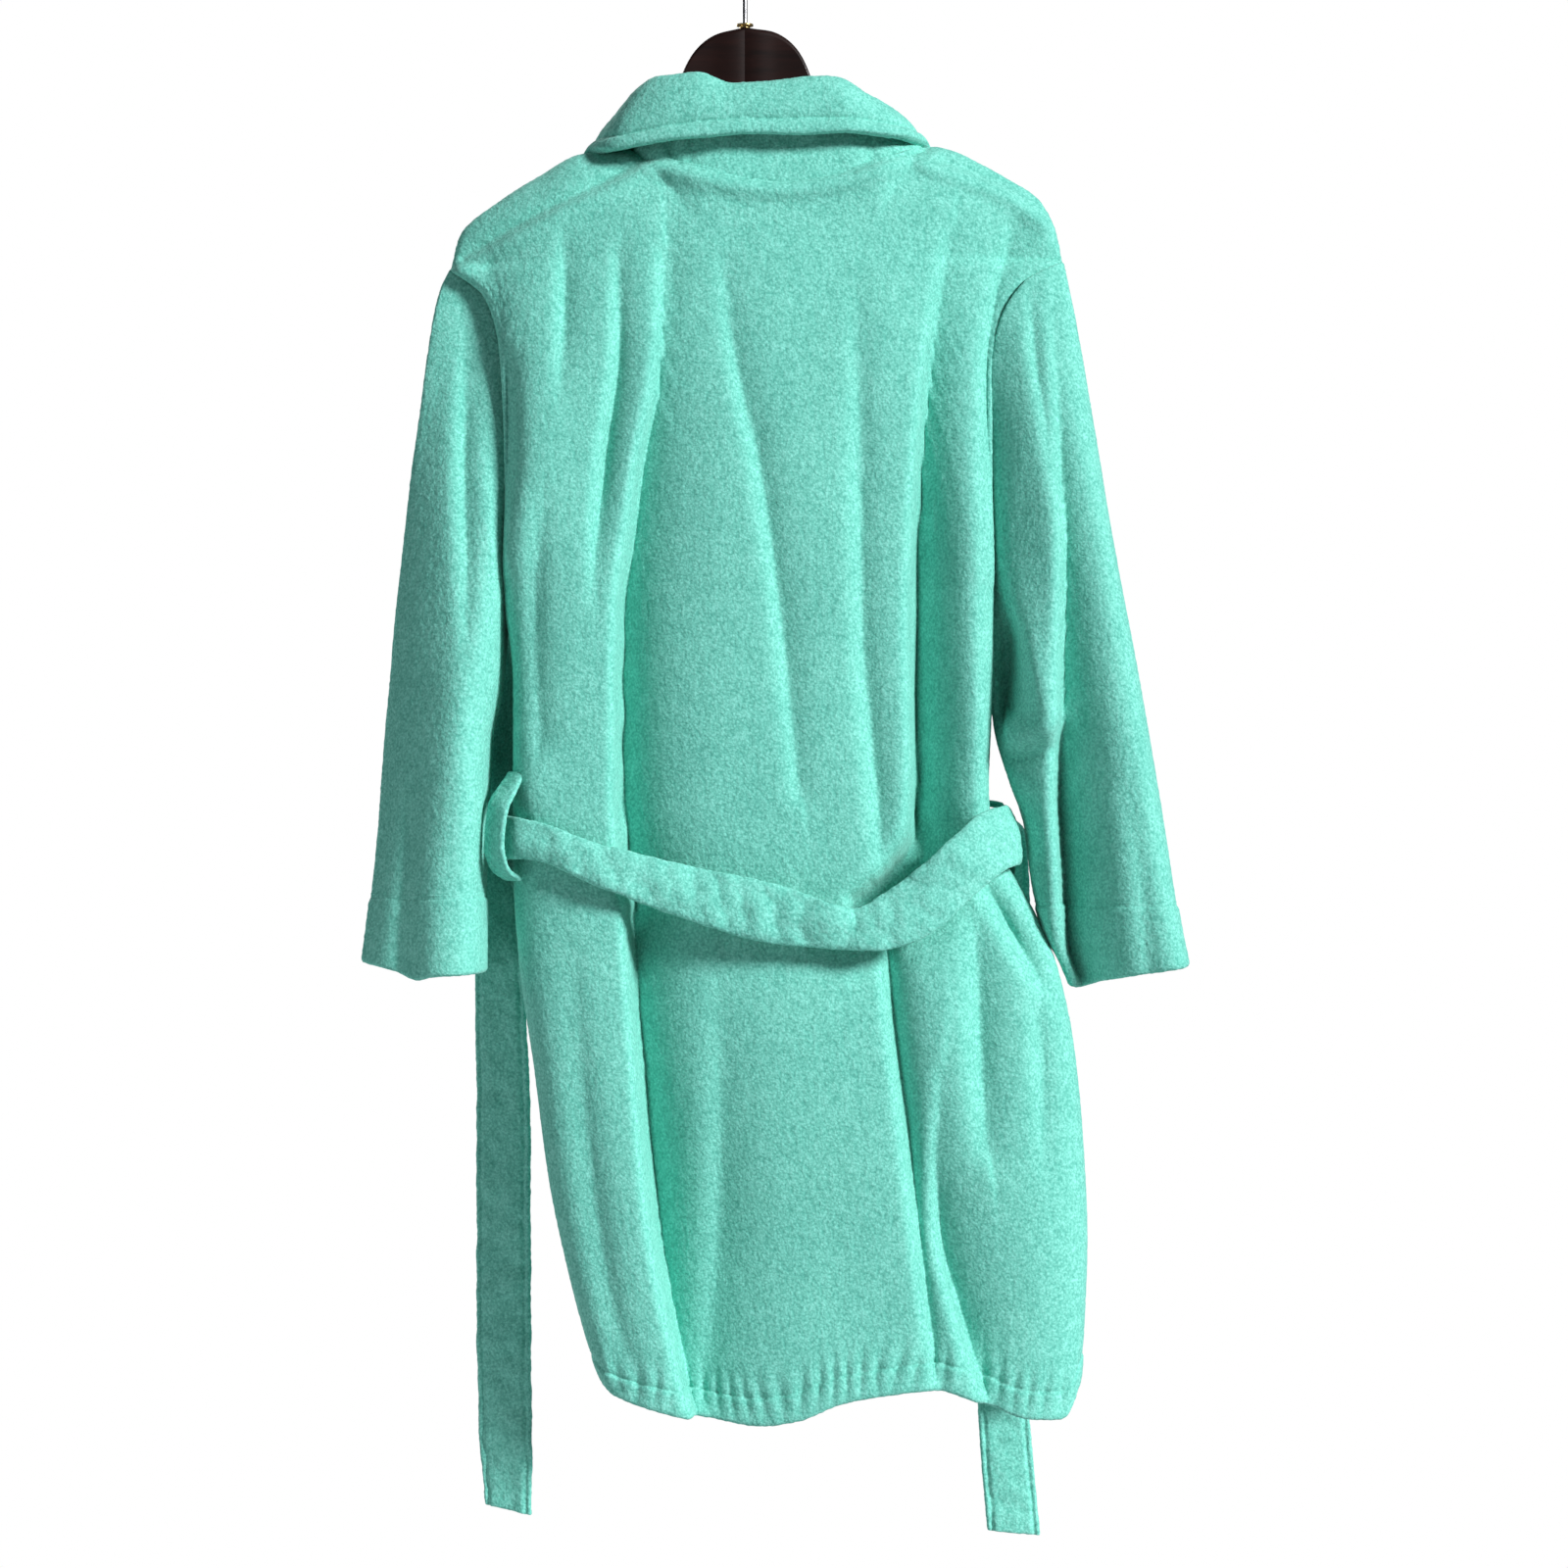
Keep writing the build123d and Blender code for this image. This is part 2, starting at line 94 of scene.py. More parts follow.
# Curves of (place, value): down the body, or from left to right along the neck.
HALF_DEPTH = [
    (-140, 37), (-200, 37), (-250, 41), (-290, 46), (-380, 54), (-485, 60), (-640, 61),
    (-776, 62), (-934, 63), (-1130, 63),
]
SQUARENESS = [(-140, 2.4), (-300, 3.2), (-460, 4.6), (-1130, 4.6)]     # 2 is an ellipse, more is boxier
ARMHOLE_HALF = 22           # half the armhole's depth at its middle
NECK_RIM = [
    (-94, 0), (-84, 0.15), (-70, 0.6), (-50, 0.9), (-30, 1), (100, 1), (120, 0.75), (139, 0.15), (150, 0),
]
SHOULDER_DROP = 70          # how far below the ridge the cloth reaches its full depth
HANGER_TIPS = [(-194, -219), (192, -208)]
TIP_LIFT = 15 * MM          # how far a tip of the hanger pushes its front out, and how wide around
TIP_WIDTH = 30 * MM
FRONT_BELLY = 38 * MM       # how far the left front hangs out beyond its side seam, above the belt
BELLY_HEIGHT = -615 * MM
BELLY_REACH = 100 * MM

# Folds: route (x, z, depth), then how far the fold spreads to its left and its right.
# A positive depth is a valley, a negative one a ridge.
BACK_FOLDS = [
    (
        [(-62, -232, 3), (-63, -297, 10), (-80, -409, 30), (-93, -522, 40), (-94, -634, 44), (-90, -715, 40)],
        2.5, 34,
    ),
    ([(-94, -230, 2), (-94, -297, 9), (-105, -394, 15), (-110, -450, 7), (-112, -500, 1)], 4, 10),
    ([(-150, -420, 2), (-156, -500, 7), (-152, -600, 5)], 12, 8),
    ([(-182, -300, 1), (-179, -330, 11), (-178, -385, 13), (-181, -440, 3)], 4, 9),
    (
        [
            (156, -215, 3), (143, -297, 16), (133, -409, 38), (129, -522, 50), (131, -630, 58),
            (129, -668, 60), (112, -700, 46), (84, -724, 26),
        ],
        4, 27,
    ),
    ([(170, -380, -2), (174, -470, -7), (176, -560, -10), (180, -640, -9), (188, -690, -3)], 16, 10),
    ([(146, -650, 0), (138, -690, 16), (120, -718, 18)], 5, 34),
    ([(86, -259, 1), (88, -409, 7), (90, -522, 8), (100, -634, 10), (104, -690, 6)], 7, 12),
    ([(-14, -240, 2), (-8, -297, 5), (15, -409, 7), (30, -522, 7), (42, -640, 5)], 6, 12),
    ([(-135, -214, 1), (-135, -275, 7), (-137, -345, 1)], 5, 10),
    ([(-53, -205, 1), (-54, -250, 4), (-55, -310, 1)], 10, 14),
    ([(205, -212, 5), (191, -282, 14), (187, -334, 13), (186, -420, 3)], 6, 12),
    ([(-165, -330, -2), (-163, -480, -5), (-160, -640, -6)], 16, 20),
    ([(-86, -735, 22), (-80, -821, 25), (-66, -971, 14), (-42, -1095, 8)], 2.5, 24),
    ([(-86, -735, 10), (-80, -821, 22), (-66, -971, 44), (-42, -1095, 26)], 2.5, 75),
    ([(-16, -780, 2), (-14, -880, 7), (-16, -971, 8), (-26, -1100, 7)], 12, 44),
    ([(106, -735, 16), (114, -821, 24), (124, -896, 24), (132, -971, 20), (146, -1085, 6)], 4, 11),
    ([(150, -850, 3), (146, -920, 10), (149, -971, 22), (166, -1040, 26), (184, -1098, 16)], 5, 36),
    ([(184, -712, 8), (202, -746, 20), (225, -786, 7)], 5, 11),
    ([(176, -740, 6), (178, -821, 15), (184, -905, 7)], 9, 20),
    ([(220, -790, 2), (224, -840, 7), (226, -920, 2)], 6, 11),
    ([(-128, -760, 1), (-118, -880, 5), (-100, -1010, 6), (-80, -1090, 3)], 14, 10),
]
FRONT_FOLDS = [
    ([(-118, -260, 2), (-112, -480, 8), (-104, -700, 11), (-88, -930, 12), (-72, -1095, 10)], 30, 26),
    ([(-58, -620, 2), (-50, -800, 8), (-40, -960, 11), (-26, -1100, 9)], 24, 22),
    ([(-150, -480, 2), (-150, -660, 6), (-136, -800, 6), (-118, -960, 4)], 16, 18),
    ([(150, -250, 2), (146, -480, 9), (150, -700, 12), (176, -930, 12), (196, -1095, 10)], 28, 30),
    ([(98, -640, 2), (104, -820, 9), (116, -980, 10), (128, -1100, 8)], 22, 24),
    ([(196, -700, 2), (214, -830, 7), (228, -980, 7), (236, -1080, 4)], 18, 18),
]


# ---------------------------------------------------------------- curves
def smooth(knots, values, at):
    """The monotone cubic through the values at the knots: smooth, and never past a value."""
    knots = np.asarray(knots, float)
    values = np.asarray(values, float)
    order = np.argsort(knots)
    knots = knots[order]
    values = values[order]
    gaps = np.diff(knots)
    slopes = np.diff(values) / gaps
    product = slopes[:-1] * slopes[1:]
    total = np.where(product > 0, slopes[:-1] + slopes[1:], 1.0)
    bends = np.where(product > 0, 2 * product / total, 0.0)
    tangents = np.concatenate([slopes[:1], bends, slopes[-1:]])
    at = np.clip(at, knots[0], knots[-1])
    cell = np.clip(np.searchsorted(knots, at) - 1, 0, len(gaps) - 1)
    gap = gaps[cell]
    t = (at - knots[cell]) / gap
    rise = t * t * (3 - 2 * t)
    leave = t * (1 - t) ** 2 * gap * tangents[cell]
    arrive = t * t * (t - 1) * gap * tangents[cell + 1]
    return (1 - rise) * values[cell] + rise * values[cell + 1] + leave + arrive


def trace(points, share):
    """Points on the smooth line through the given points, at shares 0 to 1 of its length."""
    points = np.asarray(points, float)
    legs = np.linalg.norm(np.diff(points, axis=0), axis=1)
    reach = np.concatenate([[0], np.cumsum(legs)]) / legs.sum()
    return np.stack([smooth(reach, column, share) for column in points.T], axis=-1)


def table(pairs, at):
    """The smooth curve through (place, value) pairs in millimetres, read at a place in metres."""
    places, values = np.array(pairs, float).T * MM
    return smooth(places, values, at)


def side_x(outline, z):
    """The x of an outline's side line at height z."""
    return table([(b, a) for a, b in outline], z)


def shares(count, crowding=(0.0, 0.0), lines=(), length=1.0):
    """Shares 0 to 1, crowded towards the start and the end, with close ones at each stitch line."""
    even = np.linspace(0, 1, count)
    start, end = crowding
    bend = np.sin(np.pi * even) / np.pi
    found = even - start * bend * (1 - even) + end * bend * even
    for line in lines:
        near = (line + np.array([-2.6, -1.0, 0.0, 1.0, 2.6]) * MM) / length
        found = found[(found < near[0] - MM / length) | (found > near[-1] + MM / length)]
        found = np.sort(np.concatenate([found, near]))
    return found


def step(low, high, value):
    """0 below low, 1 above high, and smooth between."""
    t = np.clip((value - low) / (high - low), 0, 1)
    return t * t * (3 - 2 * t)


def lumps(points, size, seed):
    """Smooth noise of about -1 to 1 over the points, with lumps of the given size in metres."""
    shift = Vector((seed * 7.3, seed * 3.1, seed * 5.7))
    flat = points.reshape(-1, 3) / size
    found = [noise.noise(Vector(point) + shift) for point in flat]
    return np.array(found).reshape(points.shape[:-1])


# ---------------------------------------------------------------- folds and depth
STEEP_WALL = 1.7            # the power of a fold's fading on its left


def fold(x, z, route, left, right, power=1.05):
    """How deep one fold is at each place: full on its route, and fading to both sides.

    Left and right are those of someone who walks the route. The left side is the steeper wall.
    """
    line = trace(np.array(route, float) * MM, np.linspace(0, 1, 80))
    way = np.gradient(line[:, :2], axis=0)
    across = x[..., None] - line[:, 0]
    up = z[..., None] - line[:, 1]
    apart = across ** 2 + up ** 2
    nearest = apart.argmin(axis=-1)
    pick = nearest[..., None]
    side = way[nearest, 0] * np.take_along_axis(up, pick, -1)[..., 0]
    side = side - way[nearest, 1] * np.take_along_axis(across, pick, -1)[..., 0]
    away = np.sqrt(np.take_along_axis(apart, pick, -1)[..., 0])
    softness = 2 * MM
    away = np.sqrt(away ** 2 + softness ** 2) - softness
    spread = np.where(side > 0, right, left) * MM
    power = np.where(side > 0, power, max(power, STEEP_WALL))
    return line[nearest, 2] * np.exp(-(away / spread) ** power)


def folds(x, z, rows):
    return sum(fold(x, z, *row) for row in rows)


def body_depth(x, z, rim, left=None, right=None):
    """Distance from the middle plane to the cloth, before folds; rim is 1 where the neck seam is."""
    if left is None:
        left = side_x(LEFT_SIDE, z)
    if right is None:
        right = side_x(RIGHT_SIDE, z)
    out = np.clip((2 * x - left - right) / (right - left), -1, 1)
    power = table(SQUARENESS, z) / MM
    bulge = (1 - np.abs(out) ** power) ** (1 / power)
    ridge = table(SHOULDER_LEFT + SHOULDER_RIGHT, x)
    below = np.clip((ridge - z) / (SHOULDER_DROP * MM), 0, 1)
    drop = (1 - (1 - below) ** 2.2) ** 0.625
    drop = np.maximum(drop, rim)
    side = np.where(out < 0, armhole("left", z), armhole("right", z))
    full = table(HALF_DEPTH, z) * drop
    return side + (full - side) * bulge, bulge * drop


def hanger_room(x, z):
    """How much further out the fronts lie where the tips of the hanger fill the shoulders."""
    room = 0 * x
    for tip_x, tip_z in HANGER_TIPS:
        apart = ((x - tip_x * MM) ** 2 + (z - tip_z * MM) ** 2) / TIP_WIDTH ** 2
        room = room + TIP_LIFT * np.exp(-apart)
    return room


def wrapped(count, depth_share):
    """Shares across a panel, evenly spaced along its curve, with its two sides turned inwards."""
    power = SQUARENESS[-1][1]
    angle = np.pi / 2 * np.linspace(0, 1, 4000) ** power
    out = 1 - np.cos(angle) ** (2 / power)
    deep = depth_share * np.sin(angle) ** (2 / power)
    reach = np.concatenate([[0], np.cumsum(np.hypot(np.diff(out), np.diff(deep)))])
    half = np.interp(np.linspace(0, reach[-1], count // 2 + 1), reach, out) / 2
    return np.concatenate([half, 1 - half[-2::-1]])


def armhole(side, z):
    """Half the armhole's depth at height z; outside the armhole, the lap of the side seam."""
    top = ARMHOLE_TOP[side] * MM
    foot = ARMHOLE_FOOT[side] * MM
    share = np.clip((top - z) / (top - foot), 0, 1)
    hole = 2 * np.sqrt(share * (1 - share)) * ARMHOLE_HALF * MM
    return np.where(hole > 0, hole, 0) - SEAM_LAP * (1 - step(0, 6 * MM, hole))


def back_y(x, z, left=None, right=None):
    rim = table(NECK_RIM, x) / MM
    depth, free = body_depth(x, z, rim, left, right)
    return -depth + folds(x, z, BACK_FOLDS) * step(0.05, 0.6, free)


def front_y(x, z, left=None, right=None):
    depth, free = body_depth(x, z, 0, left, right)
    depth = depth + hanger_room(x, z) * step(0.0, 0.3, free)
    return depth - folds(x, z, FRONT_FOLDS) * step(0.05, 0.6, free)


# ---------------------------------------------------------------- meshes
def coons(top, bottom, left, right, across, down):
    """A grid of (x, z) that fills an outline; across and down are its columns' and rows' shares."""
    t = trace(np.array(top) * MM, across)[None]
    b = trace(np.array(bottom) * MM, across)[None]
    l = trace(np.array(left) * MM, down)[:, None]
    r = trace(np.array(right) * MM, down)[:, None]
    u = across[None, :, None]
    v = down[:, None, None]
    corners = (1 - u) * (1 - v) * t[:, :1] + u * (1 - v) * t[:, -1:]
    corners = corners + (1 - u) * v * b[:, :1] + u * v * b[:, -1:]
    return (1 - v) * t + v * b + (1 - u) * l + u * r - corners


def slope(grid, axis, wrap):
    if wrap:
        return np.roll(grid, -1, axis) - np.roll(grid, 1, axis)
    return np.gradient(grid, axis=axis)


def shell(name, grid, thickness, around=False, subdivide=1):
    """A closed layer of cloth with the grid at its middle; around joins the last column to the first."""
    rows, columns = grid.shape[:2]
    normal = np.cross(slope(grid, 1, around), slope(grid, 0, False))
    normal /= np.linalg.norm(normal, axis=-1, keepdims=True) + 1e-12
    half = np.broadcast_to(np.asarray(thickness, float), (rows, columns))[..., None] / 2
    points = np.concatenate([(grid + normal * half).reshape(-1, 3), (grid - normal * half).reshape(-1, 3)])
    count = rows * columns
    number = np.arange(count).reshape(rows, columns)
    here = number if around else number[:, :-1]
    beside = np.roll(number, -1, 1) if around else number[:, 1:]
    quads = np.stack([here[:-1], beside[:-1], beside[1:], here[1:]], -1).reshape(-1, 4)
    faces = [quads, quads[:, ::-1] + count]
    rims = [(here[0], beside[0]), (beside[-1], here[-1])]
    if not around:
        rims += [(number[1:, 0], number[:-1, 0]), (number[:-1, -1], number[1:, -1])]
    for a, b in rims:
        faces.append(np.stack([b, a, a + count, b + count], -1))
    return mesh_piece(name, points, np.concatenate(faces).tolist(), subdivide)


def mesh_piece(name, points, faces, subdivide=0):
    """A smooth-shaded piece that remembers where its cloth lay at rest, for its material."""
    mesh = bpy.data.meshes.new(name)
    mesh.from_pydata(points.tolist(), [], faces)
    work = bmesh.new()
    work.from_mesh(mesh)
    bmesh.ops.recalc_face_normals(work, faces=work.faces)
    work.to_mesh(mesh)
    work.free()
    mesh.shade_smooth()
    place = mesh.attributes.new("cloth_at", "FLOAT_VECTOR", "POINT")
    place.data.foreach_set("vector", points.astype(np.float32).ravel())
    piece = bpy.data.objects.new(name, mesh)
    bpy.context.scene.collection.objects.link(piece)
    if subdivide:
        rounding = piece.modifiers.new("rounding", "SUBSURF")
        rounding.levels = subdivide
        rounding.render_levels = subdivide
    return piece


def napped(piece, height=0.9 * MM, size=0.0035):
    """Lifts and sinks the surface a little everywhere, as the loops of terry do."""
    nap = bpy.data.textures.get("terry_nap") or bpy.data.textures.new("terry_nap", "CLOUDS")
    nap.noise_scale = size
    nap.noise_depth = 1
    lift = piece.modifiers.new("nap", "DISPLACE")
    lift.texture = nap
    lift.texture_coords = "LOCAL"
    lift.strength = height
    lift.mid_level = 0.5
    return piece


def stitched(distance, lines, width=STITCH_WIDTH):
    """The share of the thickness that is left beside rows of stitches."""
    left = np.ones_like(distance)
    for line in lines:
        left = left - 0.68 * np.exp(-((distance - line) / width) ** 2)
    return left


def hang(piece, body, slot, *nodes):
    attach(piece, body)
    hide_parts(*nodes)
    return piece


def join(piece, bodies, start, end, slot, *nodes):
    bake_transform(piece)
    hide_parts(*nodes)
    return piece


# ---------------------------------------------------------------- materials
def node(tree, kind, **settings):
    made = tree.nodes.new(kind)
    for key, value in settings.items():
        setattr(made, key, value)
    return made


def set_inputs(made, **values):
    """Sets a node's own sockets by name, with _ for each space."""
    for key, value in values.items():
        made.inputs[key.replace("_", " ")].default_value = value


def ramp(tree, source, stops):
    made = node(tree, "ShaderNodeValToRGB")
    elements = made.color_ramp.elements
    while len(elements) < len(stops):
        elements.new(0.5)
    for element, (place, colour) in zip(elements, stops):
        element.position = place
        element.color = (*colour, 1)
    tree.links.new(source, made.inputs["Fac"])
    return made.outputs["Color"]


def texture(tree, kind, where, scale, **inputs):
    made = node(tree, kind)
    tree.links.new(where, made.inputs["Vector"])
    set_inputs(made, Scale=scale, **inputs)
    return made


def multiplied(tree, first, second):
    made = node(tree, "ShaderNodeMix", data_type="RGBA", blend_type="MULTIPLY")
    tree.links.new(first, made.inputs["A"])
    tree.links.new(second, made.inputs["B"])
    set_inputs(made, Factor=1.0)
    return made.outputs["Result"]


def added(tree, first, second, weight):
    """first + weight * second."""
    made = node(tree, "ShaderNodeMath", operation="MULTIPLY_ADD")
    tree.links.new(second, made.inputs[0])
    made.inputs[1].default_value = weight
    tree.links.new(first, made.inputs[2])
    return made.outputs[0]


def bumped(tree, shader, height, strength, distance):
    """Lets a height shade the surface as bumps of up to the given distance."""
    bump = node(tree, "ShaderNodeBump")
    set_inputs(bump, Strength=strength, Distance=distance)
    tree.links.new(height, bump.inputs["Height"])
    tree.links.new(bump.outputs["Normal"], shader.inputs["Normal"])


def blank_material(name):
    material = bpy.data.materials.new(name)
    material.use_nodes = True
    tree = material.node_tree
    shader = tree.nodes["Principled BSDF"]
    return material, tree, shader


def terry_material(name, deep, middle, pale):
    """Looped cotton: loops of 2 mm that catch the light, clumps of 9 mm, and clouds of tone."""
    material, tree, shader = blank_material(name)
    place = node(tree, "ShaderNodeAttribute", attribute_name="cloth_at").outputs["Vector"]
    loops = texture(tree, "ShaderNodeTexNoise", place, 430.0, Detail=3.0, Roughness=0.7)
    tufts = texture(tree, "ShaderNodeTexVoronoi", place, 480.0)
    clumps = texture(tree, "ShaderNodeTexNoise", place, 110.0, Detail=2.0)
    clouds = texture(tree, "ShaderNodeTexNoise", place, 22.0, Detail=2.0)
    height = added(tree, loops.outputs["Fac"], tufts.outputs["Distance"], -0.35)
    height = added(tree, height, clumps.outputs["Fac"], 0.25)
    tone = ramp(tree, height, [(0.24, deep), (0.44, middle), (0.66, pale)])
    drift = ramp(tree, clouds.outputs["Fac"], [(0.3, (0.88, 0.93, 0.93)), (0.7, (1.0, 1.0, 1.0))])
    tree.links.new(multiplied(tree, tone, drift), shader.inputs["Base Color"])
    bumped(tree, shader, height, 0.75, 0.8 * MM)
    set_inputs(shader, Roughness=0.95, Specular_IOR_Level=0.15)
    set_inputs(shader, Sheen_Weight=0.15, Sheen_Roughness=0.55, Sheen_Tint=(0.80, 1.0, 0.96, 1))
    return material


def woven_material(name, dark, light, threads=900.0):
    """Narrow woven tape or label: fine crossing threads."""
    material, tree, shader = blank_material(name)
    place = node(tree, "ShaderNodeAttribute", attribute_name="cloth_at").outputs["Vector"]
    warp = node(tree, "ShaderNodeTexWave", bands_direction="X")
    weft = node(tree, "ShaderNodeTexWave", bands_direction="Z")
    for wave in (warp, weft):
        tree.links.new(place, wave.inputs["Vector"])
        set_inputs(wave, Scale=threads / 2, Distortion=0.6)
    height = added(tree, warp.outputs["Fac"], weft.outputs["Fac"], 1.0)
    tree.links.new(ramp(tree, height, [(0.2, dark), (1.0, light)]), shader.inputs["Base Color"])
    bumped(tree, shader, height, 0.4, 0.2 * MM)
    set_inputs(shader, Roughness=0.8)
    return material


def wood_material(name, dark, light, coat):
    """Lacquered wood whose grain runs along X, with fine pores."""
    material, tree, shader = blank_material(name)
    place = node(tree, "ShaderNodeTexCoord").outputs["Object"]
    stretch = node(tree, "ShaderNodeMapping")
    set_inputs(stretch, Scale=(3.0, 40.0, 40.0))
    tree.links.new(place, stretch.inputs["Vector"])
    along = stretch.outputs["Vector"]
    rings = texture(tree, "ShaderNodeTexNoise", along, 2.2, Detail=6.0, Distortion=0.6)
    pores = texture(tree, "ShaderNodeTexNoise", along, 16.0, Detail=4.0)
    grain = added(tree, rings.outputs["Fac"], pores.outputs["Fac"], 0.3)
    tree.links.new(ramp(tree, grain, [(0.45, dark), (0.85, light)]), shader.inputs["Base Color"])
    bumped(tree, shader, pores.outputs["Fac"], 0.15, 0.3 * MM)
    set_inputs(shader, Roughness=0.5, Specular_IOR_Level=0.2, Coat_Weight=coat, Coat_Roughness=0.12)
    return material


def metal_material(name, dull, bright, roughness):
    """Turned or drawn metal: faint lengthwise brushing and handling marks."""
    material, tree, shader = blank_material(name)
    place = node(tree, "ShaderNodeTexCoord").outputs["Object"]
    marks = texture(tree, "ShaderNodeTexNoise", place, 140.0, Detail=5.0)
    smears = texture(tree, "ShaderNodeTexNoise", place, 900.0, Detail=2.0)
    colour = ramp(tree, marks.outputs["Fac"], [(0.35, dull), (0.65, bright)])
    tree.links.new(colour, shader.inputs["Base Color"])
    shine = node(tree, "ShaderNodeMapRange")
    set_inputs(shine, To_Min=roughness, To_Max=roughness + 0.18)
    tree.links.new(smears.outputs["Fac"], shine.inputs["Value"])
    tree.links.new(shine.outputs["Result"], shader.inputs["Roughness"])
    set_inputs(shader, Metallic=1.0)
    return material


TERRY = terry_material("terry_mint", (0.11, 0.46, 0.38), (0.18, 0.61, 0.51), (0.28, 0.78, 0.68))
TAPE = woven_material("mint_tape", (0.10, 0.42, 0.36), (0.20, 0.62, 0.54))
LABEL = woven_material("label_satin", (0.62, 0.62, 0.58), (0.88, 0.88, 0.85), threads=1400.0)
MAHOGANY = wood_material("mahogany_lacquer", (0.003, 0.001, 0.0008), (0.016, 0.004, 0.003), 0.15)
BEECH = wood_material("beech_dowel", (0.28, 0.16, 0.08), (0.45, 0.28, 0.15), 0.1)
STEEL = metal_material("hook_chrome", (0.50, 0.50, 0.52), (0.72, 0.72, 0.74), 0.16)
BRASS = metal_material("ferrule_brass", (0.55, 0.38, 0.14), (0.74, 0.54, 0.22), 0.22)


def terry(piece):
    piece.data.materials.append(TERRY)
    return napped(piece)


def finish_cad(node_name, material):
    """Gives a CAD piece that stays visible its material."""
    piece = bpy.data.objects[node_name] if node_name in bpy.data.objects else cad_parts[node_name]
    if not piece.data.materials:
        piece.data.materials.append(material)
    for number in range(len(piece.data.materials)):
        piece.data.materials[number] = material


# ---------------------------------------------------------------- camera, light and stage
def studio():
    camera = bpy.data.objects.new("camera", bpy.data.cameras.new("camera"))
    camera.data.lens = 84
    camera.data.sensor_width = 36
    camera.location = (0.030, -2.8, -0.634)
    camera.rotation_euler = (math.radians(90), 0, 0)
    bpy.context.scene.collection.objects.link(camera)
    bpy.context.scene.camera = camera

    world = bpy.data.worlds.new("studio")
    world.use_nodes = True
    tree = world.node_tree
    lit = tree.nodes["Background"]
    set_inputs(lit, Color=(0.92, 0.97, 1.0, 1), Strength=0.09)
    seen = node(tree, "ShaderNodeBackground")
    set_inputs(seen, Color=(1, 1, 1, 1), Strength=1.0)
    choice = node(tree, "ShaderNodeMixShader")
    tree.links.new(node(tree, "ShaderNodeLightPath").outputs["Is Camera Ray"], choice.inputs["Fac"])
    tree.links.new(lit.outputs[0], choice.inputs[1])
    tree.links.new(seen.outputs[0], choice.inputs[2])
    tree.links.new(choice.outputs[0], tree.nodes["World Output"].inputs["Surface"])
    bpy.context.scene.world = world
    bpy.context.scene.view_settings.view_transform = "Standard"

    sun = bpy.data.objects.new("key", bpy.data.lights.new("key", "SUN"))
    sun.data.energy = 4.75
    sun.data.angle = math.radians(14)
    sun.rotation_euler = Vector((-0.70, 0.575, -0.423)).to_track_quat("-Z", "Y").to_euler()
    bpy.context.scene.collection.objects.link(sun)
    area_light("fill", (-2.6, -1.0, -0.8), 1.6, 12)
    area_light("far_side", (-1.2, 2.6, 0.6), 1.6, 70)

    bpy.ops.mesh.primitive_plane_add(size=5.6, location=(0, 0, -1.95))
    floor = bpy.context.object
    floor.name = "floor"
    pale, tree, shader = blank_material("pale_floor")
    set_inputs(shader, Base_Color=(0.6, 0.6, 0.6, 1), Roughness=0.9)
    floor.data.materials.append(pale)


def area_light(name, place, size, power):
    """A square softbox that points at the middle of the robe."""
    light = bpy.data.objects.new(name, bpy.data.lights.new(name, "AREA"))
    light.data.shape = "SQUARE"
    light.data.size = size
    light.data.energy = power
    light.location = place
    aim = Vector((0.03, 0, -0.6)) - Vector(place)
    light.rotation_euler = aim.to_track_quat("-Z", "Y").to_euler()
    bpy.context.scene.collection.objects.link(light)


# ---------------------------------------------------------------- body panels
HEM_DEPTH = 21 * MM


def hemmed(from_hem):
    """The thickness of a panel: doubled below the row of stitches of its hem."""
    doubled = CLOTH + 1.8 * MM * (1 - step(HEM_DEPTH, HEM_DEPTH + 2 * MM, from_hem))
    return doubled * stitched(from_hem, [HEM_DEPTH])


def back_panel():
    length = 0.93
    across = wrapped(196, 0.33)
    down = shares(166, (0.5, 0.0), [length - HEM_DEPTH], length)
    top = SHOULDER_LEFT + NECK_SEAM[1:-1] + SHOULDER_RIGHT
    flat = coons(top, BACK_HEM, LEFT_SIDE, RIGHT_SIDE, across, down)
    x = flat[..., 0]
    z = flat[..., 1]
    y = back_y(x, z, x[:, :1], x[:, -1:])
    grid = np.stack([x, y, z], -1)
    from_hem = (1 - down)[:, None] * length + 0 * x
    pucker = np.sin(x * 2 * math.pi / 0.0125 + 4 * lumps(grid, 0.05, 3))
    beside_stitches = np.exp(-((from_hem - HEM_DEPTH) / 0.014) ** 2)
    y = y + 1.3 * MM * pucker * beside_stitches * step(-0.004, -0.03, y)
    y = y + 2.2 * MM * lumps(grid * (1, 1, 0.45), 0.06, 1) * step(-0.005, -0.03, y)
    y = y - seam_band(x, z)
    grid = np.stack([x, y, z], -1)
    piece = terry(shell("back_panel_cloth", grid, hemmed(from_hem)))
    hang(piece, "robe", "terry", "back_panel")


LEFT_SHOULDER_SEAM = [(-71, -158), (-100, -175), (-142, -195), (-188, -218), (-214, -232)]
RIGHT_SHOULDER_SEAM = [(139, -158), (170, -168), (205, -181), (228, -198)]


def seam_band(x, z):
    """The allowance pressed down beside the shoulder and neck seams: a low band with a crease above it."""
    raised = 0 * x
    neck = [(px, pz - 2) for px, pz in NECK_SEAM]
    for route, width in ((LEFT_SHOULDER_SEAM, 9), (RIGHT_SHOULDER_SEAM, 7), (neck, 8)):
        lower = [(px, pz - width, 1) for px, pz in route]
        crease = [(px, pz, 1) for px, pz in route]
        raised = raised + 3.6 * fold(x, z, lower, 6, 6, 2.0) - 4.6 * fold(x, z, crease, 3.5, 3.5, 2.0)
    return raised


